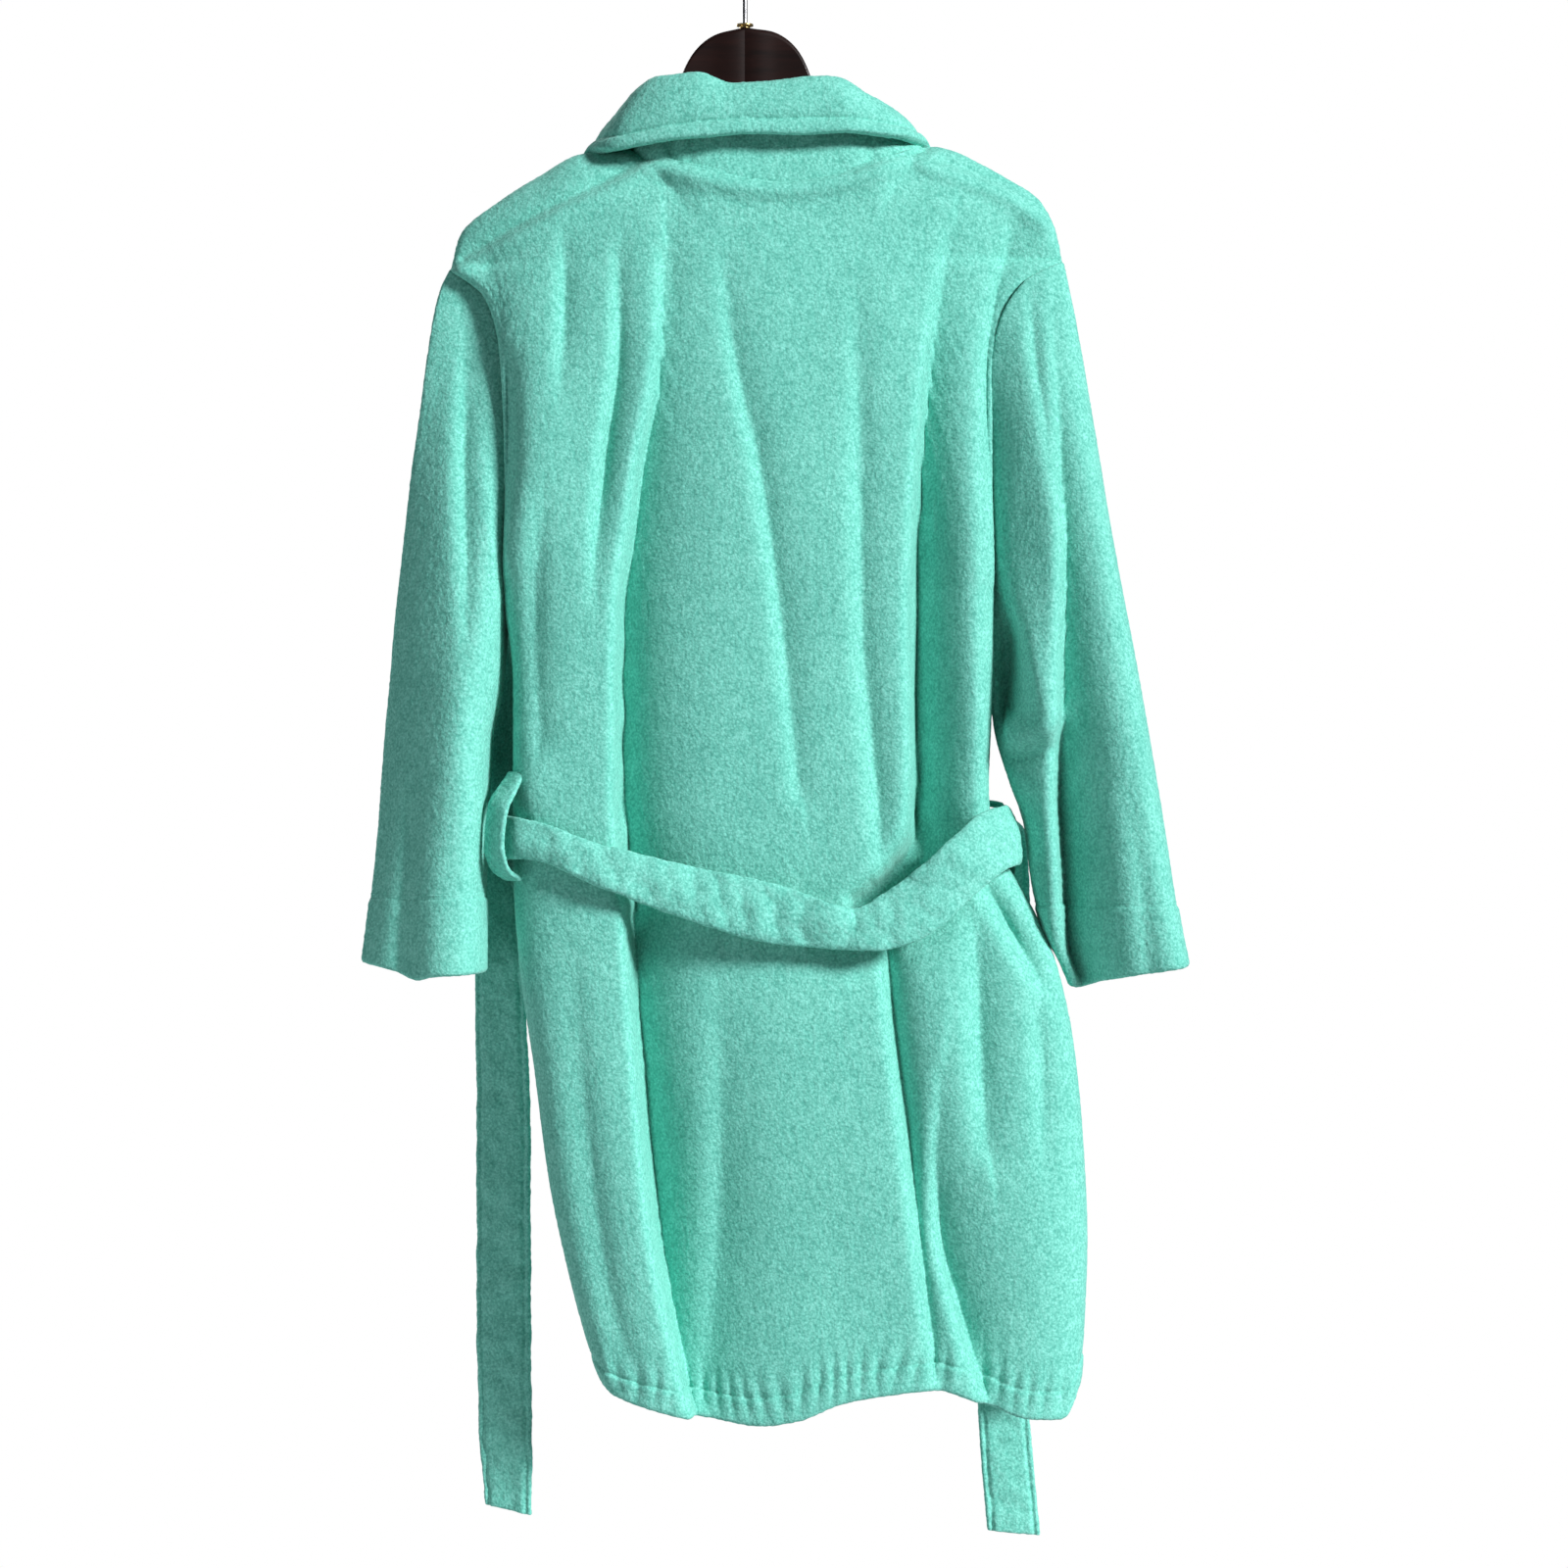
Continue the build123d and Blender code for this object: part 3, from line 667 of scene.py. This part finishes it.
def front_panel(side, top, hem, side_line, edge, bodies, fold_start, fold_end):
    length = 0.94
    across = wrapped(180, 0.33)
    across = across[:88] / across[87]
    down = shares(120, (0.6, 0.0), [length - HEM_DEPTH], length)
    if side == "left":
        flat = coons(top, hem, side_line, edge, across, down)
        sides = (flat[:, :1, 0], None)
    else:
        flat = coons(top, hem, edge, side_line, 1 - across[::-1], down)
        sides = (None, flat[:, -1:, 0])
    x = flat[..., 0]
    z = flat[..., 1]
    y = front_y(x, z, *sides)
    if side == "left":
        from_seam = np.clip(across / 0.30, 0, 1)[None, :]
        height = np.exp(-((z - BELLY_HEIGHT) / BELLY_REACH) ** 2)
        x = x - FRONT_BELLY * np.sin(math.pi * np.sqrt(from_seam)) ** 2 * height
    grid = np.stack([x, y, z], -1)
    y = y + 2.0 * MM * lumps(grid * (1, 1, 0.45), 0.06, 2) * step(0.005, 0.03, y)
    grid = np.stack([x, y, z], -1)
    from_hem = (1 - down)[:, None] * length + 0 * x
    piece = terry(shell(f"{side}_front_cloth", grid, hemmed(from_hem)))
    nodes = (f"{side}_front_panel", f"{side}_front_edge")
    join(piece, bodies, fold_start, fold_end, "terry", *nodes)


# ---------------------------------------------------------------- sleeves
# Outlines and folds as above; half_depth and middle are millimetres at thousandths of the length,
# apex is below 1 where the sleeve's fullest line lies near its outer side, and hem_drop is (x, drop).
SLEEVES = {
    "left": dict(
        outer=[
            (-224, -240), (-232.5, -259), (-241, -304), (-247, -349), (-253, -394), (-258, -439),
            (-264, -506), (-271, -596), (-277, -664), (-283, -731), (-287, -768),
        ],
        inner=[(-182, -480), (-186, -560), (-194, -605), (-197, -680), (-198, -774)],
        half_depth=[(0, 22), (120, 42), (260, 50), (500, 54), (1000, 52)],
        middle=[(0, 0), (260, -5), (600, -12), (1000, -21)],
        apex=1.8,
        cuff_top=-716,
        hem_drop=[(-290, 0), (-262, 4), (-246, 9), (-232, 5), (-190, 0)],
        folds=[
            ([(-214, -250, 3), (-212, -334, 8), (-210, -409, 9), (-207, -484, 6), (-206, -545, 1)], 6, 12),
            ([(-250, -640, 1), (-254, -700, 4), (-258, -785, 7)], 6, 12),
            ([(-215, -640, 1), (-216, -720, 3), (-216, -785, 2)], 12, 12),
        ],
    ),
    "right": dict(
        outer=[
            (242, -235), (247, -259), (255, -304), (262, -349), (270, -394), (277.5, -439),
            (289, -506), (305, -596), (316, -664), (327, -731), (334, -770),
        ],
        inner=[
            (188, -484), (189, -560), (192, -592), (203, -630), (214, -664), (220, -709), (228, -742),
            (250, -779),
        ],
        half_depth=[(0, 22), (120, 42), (260, 50), (500, 55), (1000, 52)],
        middle=[(0, 0), (260, -3), (600, -9), (1000, -15)],
        apex=0.65,
        cuff_top=-722,
        hem_drop=[(240, 0), (256, 9), (272, 5), (300, 2), (340, 0)],
        folds=[
            (
                [
                    (234, -270, 3), (240, -400, 14), (243, -450, 20), (240, -586, 36), (239, -640, 48),
                    (243, -700, 52), (246, -790, 50),
                ],
                4, 36,
            ),
            ([(218, -262, 2), (221, -310, 6), (229, -370, 5), (236, -420, 1)], 4, 8),
            ([(194, -474, 2), (199, -500, 14), (204, -530, 34), (200, -575, 36)], 18, 5),
            ([(202, -490, -4), (214, -528, -11), (222, -562, -11), (226, -596, -3)], 7, 12),
            ([(190, -588, -7), (202, -598, -13), (222, -592, -13), (240, -580, -6)], 8, 8),
            ([(196, -610, 5), (208, -614, 9), (226, -606, 6)], 7, 5),
            ([(292, -640, 2), (302, -710, 5), (308, -780, 6)], 8, 14),
        ],
    ),
}
SLEEVE_GIVE = 35 * MM       # how far out from the armhole, along the arm, the end point given for each sleeve lies
CUFF_DEPTH = 55 * MM
CUFF_START = 0.87           # the share of the sleeve's length at which the cuff starts


def sleeve_edge(points, level, down):
    """One side line of a sleeve, paced so that the cuff's top ring lies at the given height."""
    line = trace(np.array(points) * MM, np.linspace(0, 1, 200))
    meets = np.interp(-level * MM, -line[:, 1], np.linspace(0, 1, 200))
    return trace(line, smooth([0, CUFF_START, 1], [0, meets, 1], down))


def sleeve_grid(side, down, around):
    """Rings from the armhole to the end of the cuff; the first is the body's armhole itself."""
    plan = SLEEVES[side]
    outer = sleeve_edge(plan["outer"], plan["cuff_top"], down)[:, None]
    inner = sleeve_edge(plan["inner"], plan["cuff_top"], down)[:, None]
    angle = 2 * math.pi * around
    share = ((1 - np.cos(angle)) / 2)[None, :, None]
    flat = outer + (inner - outer) * share
    line = LEFT_SIDE if side == "left" else RIGHT_SIDE
    hole_z = (ARMHOLE_TOP[side] + (ARMHOLE_FOOT[side] - ARMHOLE_TOP[side]) * share[..., 0]) * MM
    hole_x = side_x(line, hole_z)
    straight = outer[:1] + (inner[:1] - outer[:1]) * share
    fading = np.clip(1 - down / 0.35, 0, 1)[:, None] ** 2
    x = flat[..., 0] + fading * (hole_x - straight[..., 0])
    z = flat[..., 1] + fading * (hole_z - straight[..., 1])
    half = table(plan["half_depth"], down)[:, None]
    middle = table(plan["middle"], down)[:, None]
    turned = math.pi * (np.minimum(angle, math.pi) / math.pi) ** plan["apex"]
    swing = np.where(angle < math.pi, np.sin(turned), np.sin(angle))[None, :]
    y = middle - half * np.sign(swing) * np.abs(swing) ** 0.95
    facing = step(0.0, 0.55, swing)
    y = y + folds(x, z, plan["folds"]) * facing
    grid = np.stack([x, y, z], -1)
    rough = step(0.04, 0.2, down)[:, None]
    y = y + 2.4 * MM * rough * lumps(grid * (1, 1, 0.5), 0.045, 5)
    x = x + 1.6 * MM * rough * lumps(grid * (1, 1, 0.6), 0.05, 8)
    z = z + table(plan["hem_drop"], x) * -1 * step(0.84, 1.0, down)[:, None]
    return np.stack([x, y, z], -1)


def sleeve(side):
    around = np.arange(112) / 112
    down = shares(112, (0.3, 0.0))
    grid = sleeve_grid(side, down, around)
    piece = terry(shell(f"{side}_sleeve_cloth", grid, CLOTH, around=True))
    middle_x, sign = (-0.200, -1) if side == "left" else (0.208, 1)
    start = Vector((middle_x, 0, -0.38))
    end = start + SLEEVE_GIVE * Vector((sign * 0.983, 0, -0.184))
    join(piece, ("robe", f"{side}_sleeve"), tuple(start), tuple(end), "terry", f"{side}_sleeve")


def cuff(side):
    """The hem of the sleeve: a doubled band round its end, with a row of stitches at its top."""
    around = np.arange(112) / 112
    along = shares(18, (0, 0), [3 * MM], CUFF_DEPTH)
    grid = sleeve_grid(side, CUFF_START + (1 - CUFF_START) * along, around)
    grid[-1] = grid[-1] + (0, 0, -2 * MM)
    from_top = (along * CUFF_DEPTH)[:, None] + 0 * grid[..., 0]
    thick = (CLOTH + 2.6 * MM) * stitched(from_top, [3 * MM])
    piece = terry(shell(f"{side}_cuff_cloth", grid, thick, around=True))
    hang(piece, f"{side}_sleeve", "terry", f"{side}_cuff")


# ---------------------------------------------------------------- collar and lapels
def lapel_stations(side):
    """The lapel's sections from its foot up to the collar: neckline, fold and outer edge."""
    edge = LEFT_EDGE if side == "left" else RIGHT_EDGE
    sign = 1 if side == "left" else -1
    outline = [
        (-640, 28, -642), (-600, 8, -607), (-560, -20, -577), (-455, -68, -484), (-350, -100, -378),
        (-250, -122, -274), (-185, -130, -206),
    ]
    found = []
    for neck_z, outer_x, outer_z in outline:
        neck_x = float(side_x(edge, neck_z * MM)) / MM
        if side == "right":
            outer_x = 2 * OPENING_X - outer_x
        width = abs(outer_x - neck_x)
        rise = min(9.0, 3.0 + width * 0.09)
        neck_y = on_front(neck_x, neck_z, 1.5)
        fold_y = on_front(neck_x, neck_z, rise)
        outer_y = on_front(outer_x, outer_z, 4.5)
        found.append((
            (neck_x - 2 * sign, neck_y, neck_z), (neck_x + 1 * sign, fold_y, neck_z + 2),
            (outer_x, outer_y, outer_z), 2.6,
        ))
    return found


def on_front(x, z, lift):
    """The front's surface at a place, in millimetres, raised by lift."""
    return float(front_y(np.array([x * MM]), np.array([z * MM]))[0]) / MM + lift


NECK_STATIONS = [
    ((-83, 16, -162), (-79, 21, -122), (-127, 19, -170), 4),
    ((-84, 0, -156), (-75, 0, -107), (-117, -3, -152), 5),
    ((-70, -22, -168), (-64, -19, -98), (-101, -27, -154), 5),
    ((-30, -33, -182), (-34, -29, -97), (-36, -43, -147), 5),
    ((0, -34, -187), (-7, -30, -105), (-3, -45, -145), 5),
    ((28, -34, -188), (24, -31, -103), (30, -46, -145), 5),
    ((75, -33, -182), (64, -29, -99), (78, -44, -144), 5),
    ((120, -22, -166), (88, -18, -110), (119, -30, -145), 5),
    ((139, 0, -153), (101, 0, -119), (136, -3, -146), 5),
    ((138, 16, -162), (115, 21, -136), (151, 19, -170), 4),
]
STAND_CREASES = [
    ([(-70, -140, 3), (-72, -166, 3)], 4, 6),
    ([(-53, -143, 4), (-55, -172, 4)], 4, 6),
    ([(-38, -145, 3), (-40, -174, 2)], 4, 6),
    ([(96, -150, 2), (98, -170, 3)], 6, 5),
]
COLLAR_EDGE_LINES = [0, 3.0, 6.5, 10.0, 11.2, 12.2, 13.2, 14.6, 18.5]     # columns near the outer edge


def collar_sections():
    """Every section of the collar, from the left lapel's foot round the neck to the right one's."""
    stations = lapel_stations("left") + NECK_STATIONS + lapel_stations("right")[::-1]
    flat = np.array([[*neck, *turn, *edge, roll] for neck, turn, edge, roll in stations]) * MM
    return flat, len(lapel_stations("left"))


def collar_strip(first, last, count, columns=30):
    """The strip of collar between two stations."""
    flat, _ = collar_sections()
    reach = np.linspace(first, last, count)
    places = np.stack([smooth(np.arange(len(flat)), column, reach) for column in flat.T], -1)
    neck = places[:, 0:3]
    turn = places[:, 3:6]
    edge = places[:, 6:9]
    roll = places[:, 9:10]
    way = np.gradient((neck + turn + edge) / 3, axis=0)
    way /= np.linalg.norm(way, axis=-1, keepdims=True)
    up = turn - (neck + edge) / 2
    up -= way * (up * way).sum(-1, keepdims=True)
    up /= np.linalg.norm(up, axis=-1, keepdims=True)
    out = np.cross(way, up)
    facing = np.sign((out * (edge - neck)).sum(-1, keepdims=True))
    facing[facing == 0] = 1
    out *= facing
    inner = turn - up * roll - out * roll
    outer = turn - up * roll + out * roll
    rows = []
    walks = []
    for row in range(count):
        bulge = out[row] * min(4 * MM, 0.05 * np.linalg.norm(edge[row] - outer[row]) + 1 * MM)
        section = np.array([
            neck[row], (neck[row] + inner[row]) / 2 - out[row] * MM, inner[row], turn[row], outer[row],
            (outer[row] + edge[row]) / 2 + bulge, edge[row],
        ])
        length = np.linalg.norm(np.diff(section, axis=0), axis=1).sum()
        fixed = np.array(COLLAR_EDGE_LINES[::-1]) * MM * min(1.0, length / 0.045)
        spaced = np.linspace(0, 1 - (fixed[0] + 3 * MM) / length, columns)
        share = np.concatenate([spaced, 1 - fixed / length])
        rows.append(trace(section, share))
        walks.append((share * length, (1 - share) * length))
    from_neck, from_edge = np.array(walks).transpose(1, 0, 2)
    return np.array(rows), from_neck, from_edge


def collar_piece(name, first, last, count):
    """A length of collar: creases in its stand, a puffed hem below a row of stitches on its fall."""
    grid, from_neck, from_edge = collar_strip(first, last, count)
    soft = np.stack([lumps(grid, 0.03, seed) for seed in (11, 12, 13)], -1)
    grid = grid + 1.8 * MM * soft
    behind = (grid[..., 1] < -10 * MM) & (from_neck < 0.45 * (from_neck + from_edge))
    grid[..., 1] += np.where(behind, folds(grid[..., 0], grid[..., 2], STAND_CREASES), 0)
    seam_ridge = 2.4 * MM * np.exp(-((from_neck - 14 * MM) / (5 * MM)) ** 2)
    hem = 3.2 * MM * (1 - step(9 * MM, 12 * MM, from_edge))
    thick = (5.4 * MM + seam_ridge + hem) * stitched(from_edge, [12.2 * MM], 2.2 * MM)
    return terry(shell(name, grid, thick))


def collar():
    _, foot_count = collar_sections()
    last = foot_count + len(NECK_STATIONS) - 1
    piece = collar_piece("collar_cloth", foot_count, last, 150)
    hang(piece, "robe", "terry", "collar_stand", "collar_fall", "left_collar_end", "right_collar_end")


def lapel(side, bodies, fold_start, fold_end):
    _, foot_count = collar_sections()
    total = 2 * foot_count + len(NECK_STATIONS) - 1
    lap = 0.12
    if side == "left":
        span = (0, foot_count + lap)
    else:
        span = (total - foot_count - lap, total)
    piece = collar_piece(f"{side}_lapel_cloth", *span, 120)
    join(piece, bodies, fold_start, fold_end, "terry", f"{side}_lapel")


# ---------------------------------------------------------------- trims of the fronts
def laid_patch(name, x, z, lift, thick):
    """A piece of cloth that lies on a front, lift above it."""
    y = front_y(x, z) + lift
    return terry(shell(name, np.stack([x, y, z], -1), thick))


def front_band(side, bodies, fold_start, fold_end):
    sign = -1 if side == "left" else 1
    edge = OPENING_X + sign * EDGE_GAP
    width = 35 * MM
    across = shares(14, (0, 0), [width - 4 * MM], width)
    down = np.linspace(0, 1, 110)
    x = (edge * MM + sign * width * across)[None, :] + 0 * down[:, None]
    top = -585 * MM
    z = top + (-1111 * MM - top) * down[:, None] + 0 * x
    from_edge = (across * width)[None, :] + 0 * x
    lift = 3.6 * MM
    thick = 3.6 * MM * stitched(from_edge, [width - 4 * MM])
    piece = laid_patch(f"{side}_band_cloth", x, z, lift, thick)
    join(piece, bodies, fold_start, fold_end, "terry", f"{side}_front_band")


def pocket(side, bodies, fold_start, fold_end):
    """A patch pocket with a deep hem at its mouth; its bag stands off the front."""
    sign = -1 if side == "left" else 1
    near = 68 * MM
    width = 110 * MM
    mouth = -790 * MM
    depth = 150 * MM
    hem = 28 * MM
    across = shares(40, (0, 0), [4 * MM, width - 4 * MM], width)
    down = shares(46, (0, 0), [hem, depth - 4 * MM], depth)
    u = across[None, :] + 0 * down[:, None]
    v = down[:, None] + 0 * across[None, :]
    corner = 1 - 0.16 * step(0.86, 1.0, v) * np.abs(2 * u - 1) ** 8
    x = OPENING_X * MM + sign * (near + width * (0.5 + (u - 0.5) * corner))
    sag = 3 * MM * np.sin(math.pi * u) * (1 - v)
    z = mouth - depth * v - sag
    pouch = np.sin(math.pi * np.clip(u, 0, 1)) ** 0.6 * (1 - step(0.8, 1.0, v))
    lift = (3.2 + 6.5 * pouch) * MM
    sides = np.minimum(u, 1 - u) * width
    floor_line = (1 - v) * depth
    edge_distance = np.minimum(sides, floor_line)
    thick = CLOTH * stitched(edge_distance, [4 * MM]) * stitched(v * depth, [hem])
    thick = thick + 1.6 * MM * (1 - step(hem - 2 * MM, hem, v * depth))
    piece = laid_patch(f"{side}_pocket_cloth", x, z, lift, thick)
    join(piece, bodies, fold_start, fold_end, "terry", f"{side}_pocket")


# ---------------------------------------------------------------- belt and loops
BELT_EDGES = [
    ((-190, 36, -667), (-192, 37, -704)),
    ((-192, 8, -662), (-193, 8, -699)),
    ((-182, -30, -658), (-184, -33, -693)),
    ((-161, -55, -661), (-161, -60, -690)),
    ((-108, -69, -679), (-114, -74, -708)),
    ((-32, -70, -697), (-42, -75, -735)),
    ((28, -73, -710), (24, -77, -753)),
    ((66, -81, -723), (76, -75, -757)),
    ((82, -74, -727), (100, -79, -758)),
    ((104, -72, -716), (120, -79, -754)),
    ((130, -74, -697), (146, -76, -740)),
    ((156, -70, -674), (176, -71, -713)),
    ((180, -54, -655), (199, -55, -697)),
    ((196, -24, -651), (207, -25, -695)),
    ((193, 24, -656), (200, 24, -700)),
    ((193, 62, -664), (195, 66, -704)),
]
LEFT_TAIL_EDGES = [
    ((-202, 26, -664), (-184, 26, -662)),
    ((-209, 34, -672), (-176, 35, -672)),
    ((-211, 40, -690), (-174, 34, -690)),
    ((-211, 44, -730), (-173, 31, -730)),
    ((-210, 46, -800), (-170, 29, -800)),
    ((-209, 47, -900), (-166, 28, -900)),
    ((-209, 47, -1020), (-166, 29, -1020)),
    ((-208, 45, -1120), (-165, 31, -1120)),
    ((-202, 44, -1194), (-165, 32, -1200)),
]
RIGHT_TAIL_EDGES = [
    ((190, 56, -664), (212, 56, -664)),
    ((184, 73, -670), (219, 73, -670)),
    ((182, 80, -690), (222, 80, -690)),
    ((181, 81, -740), (224, 82, -740)),
    ((180, 83, -860), (223, 81, -860)),
    ((180, 81, -980), (222, 83, -980)),
    ((181, 82, -1080), (220, 81, -1080)),
    ((184, 82, -1150), (225, 82, -1150)),
    ((190, 82, -1222), (232, 82, -1226)),
]


def edge_lines(edges, count):
    """The two smooth lines through pairs of points."""
    even = np.linspace(0, 1, count)
    first, second = (trace(np.array(points) * MM, even) for points in zip(*edges))
    return first, second


def ribbon(name, edges, count, crumple=1.0, thickness=6.4 * MM, columns=16, stitch=None, arch=0.0):
    """A flat tube of cloth between two edge lines, rounded at its edges and crumpled."""
    first, second = edge_lines(edges, count)
    width = float(np.linalg.norm(second - first, axis=1).mean())
    across = 0.5 - 0.5 * np.cos(np.pi * np.linspace(0, 1, columns))
    if stitch:
        across = shares(columns, (0, 0), [stitch, width - stitch], width)
    grid = first[:, None] + (second - first)[:, None] * across[None, :, None]
    normal = np.cross(slope(grid, 1, False), slope(grid, 0, False))
    normal /= np.linalg.norm(normal, axis=-1, keepdims=True)
    bumps = 2.2 * lumps(grid, 0.026, 21) + 2.0 * lumps(grid, 0.012, 22)
    raised = crumple * MM * bumps + arch * np.sin(np.pi * across)[None, :]
    grid = grid + normal * raised[..., None]
    edge_distance = np.minimum(across, 1 - across)[None, :] * width + 0 * grid[..., 0]
    rounded = 0.35 + 0.65 * np.sqrt(1 - (1 - np.clip(edge_distance / (5 * MM), 0, 1)) ** 2)
    thick = thickness * rounded
    if stitch:
        thick = thick * stitched(edge_distance, [stitch])
    return terry(shell(name, grid, thick))


def belt():
    thickness = 7.6 * MM
    arch = 3 * MM
    span = ribbon("belt_span_cloth", BELT_EDGES, 260, 1.3, thickness, columns=22, arch=arch)
    hang(span, "robe", "terry", "belt_back_span")
    tails = (("left", LEFT_TAIL_EDGES, -0.1945, 0.51), ("right", RIGHT_TAIL_EDGES, 0.203, 0.535))
    for side, edges, x, length in tails:
        tail = ribbon(f"{side}_tail_cloth", edges, 190, crumple=0.8, stitch=4.5 * MM)
        bodies = ("robe", f"{side}_tail")
        join(tail, bodies, (x, 0.04, -0.695), (x, 0.04, -0.735), "terry", f"belt_{side}_tail")


LOOP_EDGES = {
    "left": [
        ((-177, -37, -625), (-164, -47, -626)),
        ((-185, -40, -636), (-170, -54, -637)),
        ((-193, -46, -652), (-177, -62, -654)),
        ((-195, -47, -682), (-180, -64, -684)),
        ((-191, -42, -697), (-176, -56, -699)),
        ((-182, -34, -704), (-168, -48, -707)),
    ],
    "right": [
        ((x, 32 - half_width, z), (x, 32 + half_width, z))
        for x, z, half_width in (
            (187, -649, 8), (197, -650, 9), (203, -664, 10), (207, -690, 10), (205, -705, 9), (196, -710, 8),
        )
    ],
}


def belt_loops():
    for side, edges in LOOP_EDGES.items():
        piece = ribbon(f"{side}_loop_cloth", edges, 60, crumple=0.5, thickness=5 * MM, columns=10)
        hang(piece, "robe", "terry", f"{side}_belt_loop")


# ---------------------------------------------------------------- inside the neck
def plain_strip(name, edges, count, thickness, material, columns=8):
    first, second = edge_lines(edges, count)
    across = np.linspace(0, 1, columns)
    grid = first[:, None] + (second - first)[:, None] * across[None, :, None]
    piece = shell(name, grid, thickness)
    piece.data.materials.append(material)
    return piece


def hang_loop():
    low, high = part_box("hang_loop")
    middle = (low[0] + high[0]) / 2 / MM
    y = (low[1] + high[1]) / 2 / MM
    radius = (high[0] - low[0]) / 2 / MM - 2
    top = high[2] / MM - 3
    edges = []
    for part in np.linspace(0, 1, 13):
        angle = math.pi * part
        x = middle - radius * math.cos(angle)
        z = top - (radius - 3) * math.sin(angle)
        edges.append(((x, y - 2.4, z), (x, y + 2.4, z)))
    piece = plain_strip("hang_loop_tape", edges, 50, 1.4 * MM, TAPE)
    hang(piece, "robe", "tape", "hang_loop")


def label(node_name):
    """A blank woven label, sewn along its top edge and curling a little below."""
    low, high = (np.array(corner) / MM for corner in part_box(node_name))
    middle = (low + high) / 2
    flat_way = 0 if high[0] - low[0] > high[1] - low[1] else 1
    curl_way = 1 - flat_way
    height = high[2] - low[2]
    edges = []
    for part in np.linspace(0, 1, 7):
        pair = []
        for corner, curl in ((low, 1.2), (high, 0.7)):
            point = middle.copy()
            point[flat_way] = corner[flat_way]
            point[curl_way] += curl * part ** 2
            point[2] = high[2] - height * part
            pair.append(tuple(point))
        edges.append(tuple(pair))
    piece = plain_strip(f"{node_name}_cloth", edges, 24, 0.7 * MM, LABEL, columns=24)
    hang(piece, "robe", "label", node_name)


# ---------------------------------------------------------------- everything
# Each front: its outline, then where it starts to bend with its joint and where it moves in full.
FRONTS = {
    "left": (SHOULDER_LEFT, FRONT_HEM_LEFT, LEFT_SIDE, LEFT_EDGE, (-0.047, 0, 0), (-0.007, 0, 0)),
    "right": (SHOULDER_RIGHT, FRONT_HEM_RIGHT, RIGHT_SIDE, RIGHT_EDGE, (0.117, 0, 0), (0.077, 0, 0)),
}
studio()
back_panel()
for side, (top, hem, side_line, edge, start, end) in FRONTS.items():
    bodies = ("robe", f"{side}_front")
    front_panel(side, top, hem, side_line, edge, bodies, start, end)
    front_band(side, bodies, start, end)
    pocket(side, bodies, start, end)
    lapel(side, bodies, start, end)
    sleeve(side)
    cuff(side)
collar()
belt()
belt_loops()
hang_loop()
label("neck_label")
label("care_label")
for arm in ("hanger_left_arm", "hanger_right_arm"):
    finish_cad(arm, MAHOGANY)
finish_cad("hanger_dowels", BEECH)
finish_cad("hook", STEEL)
finish_cad("hook_ferrule", BRASS)
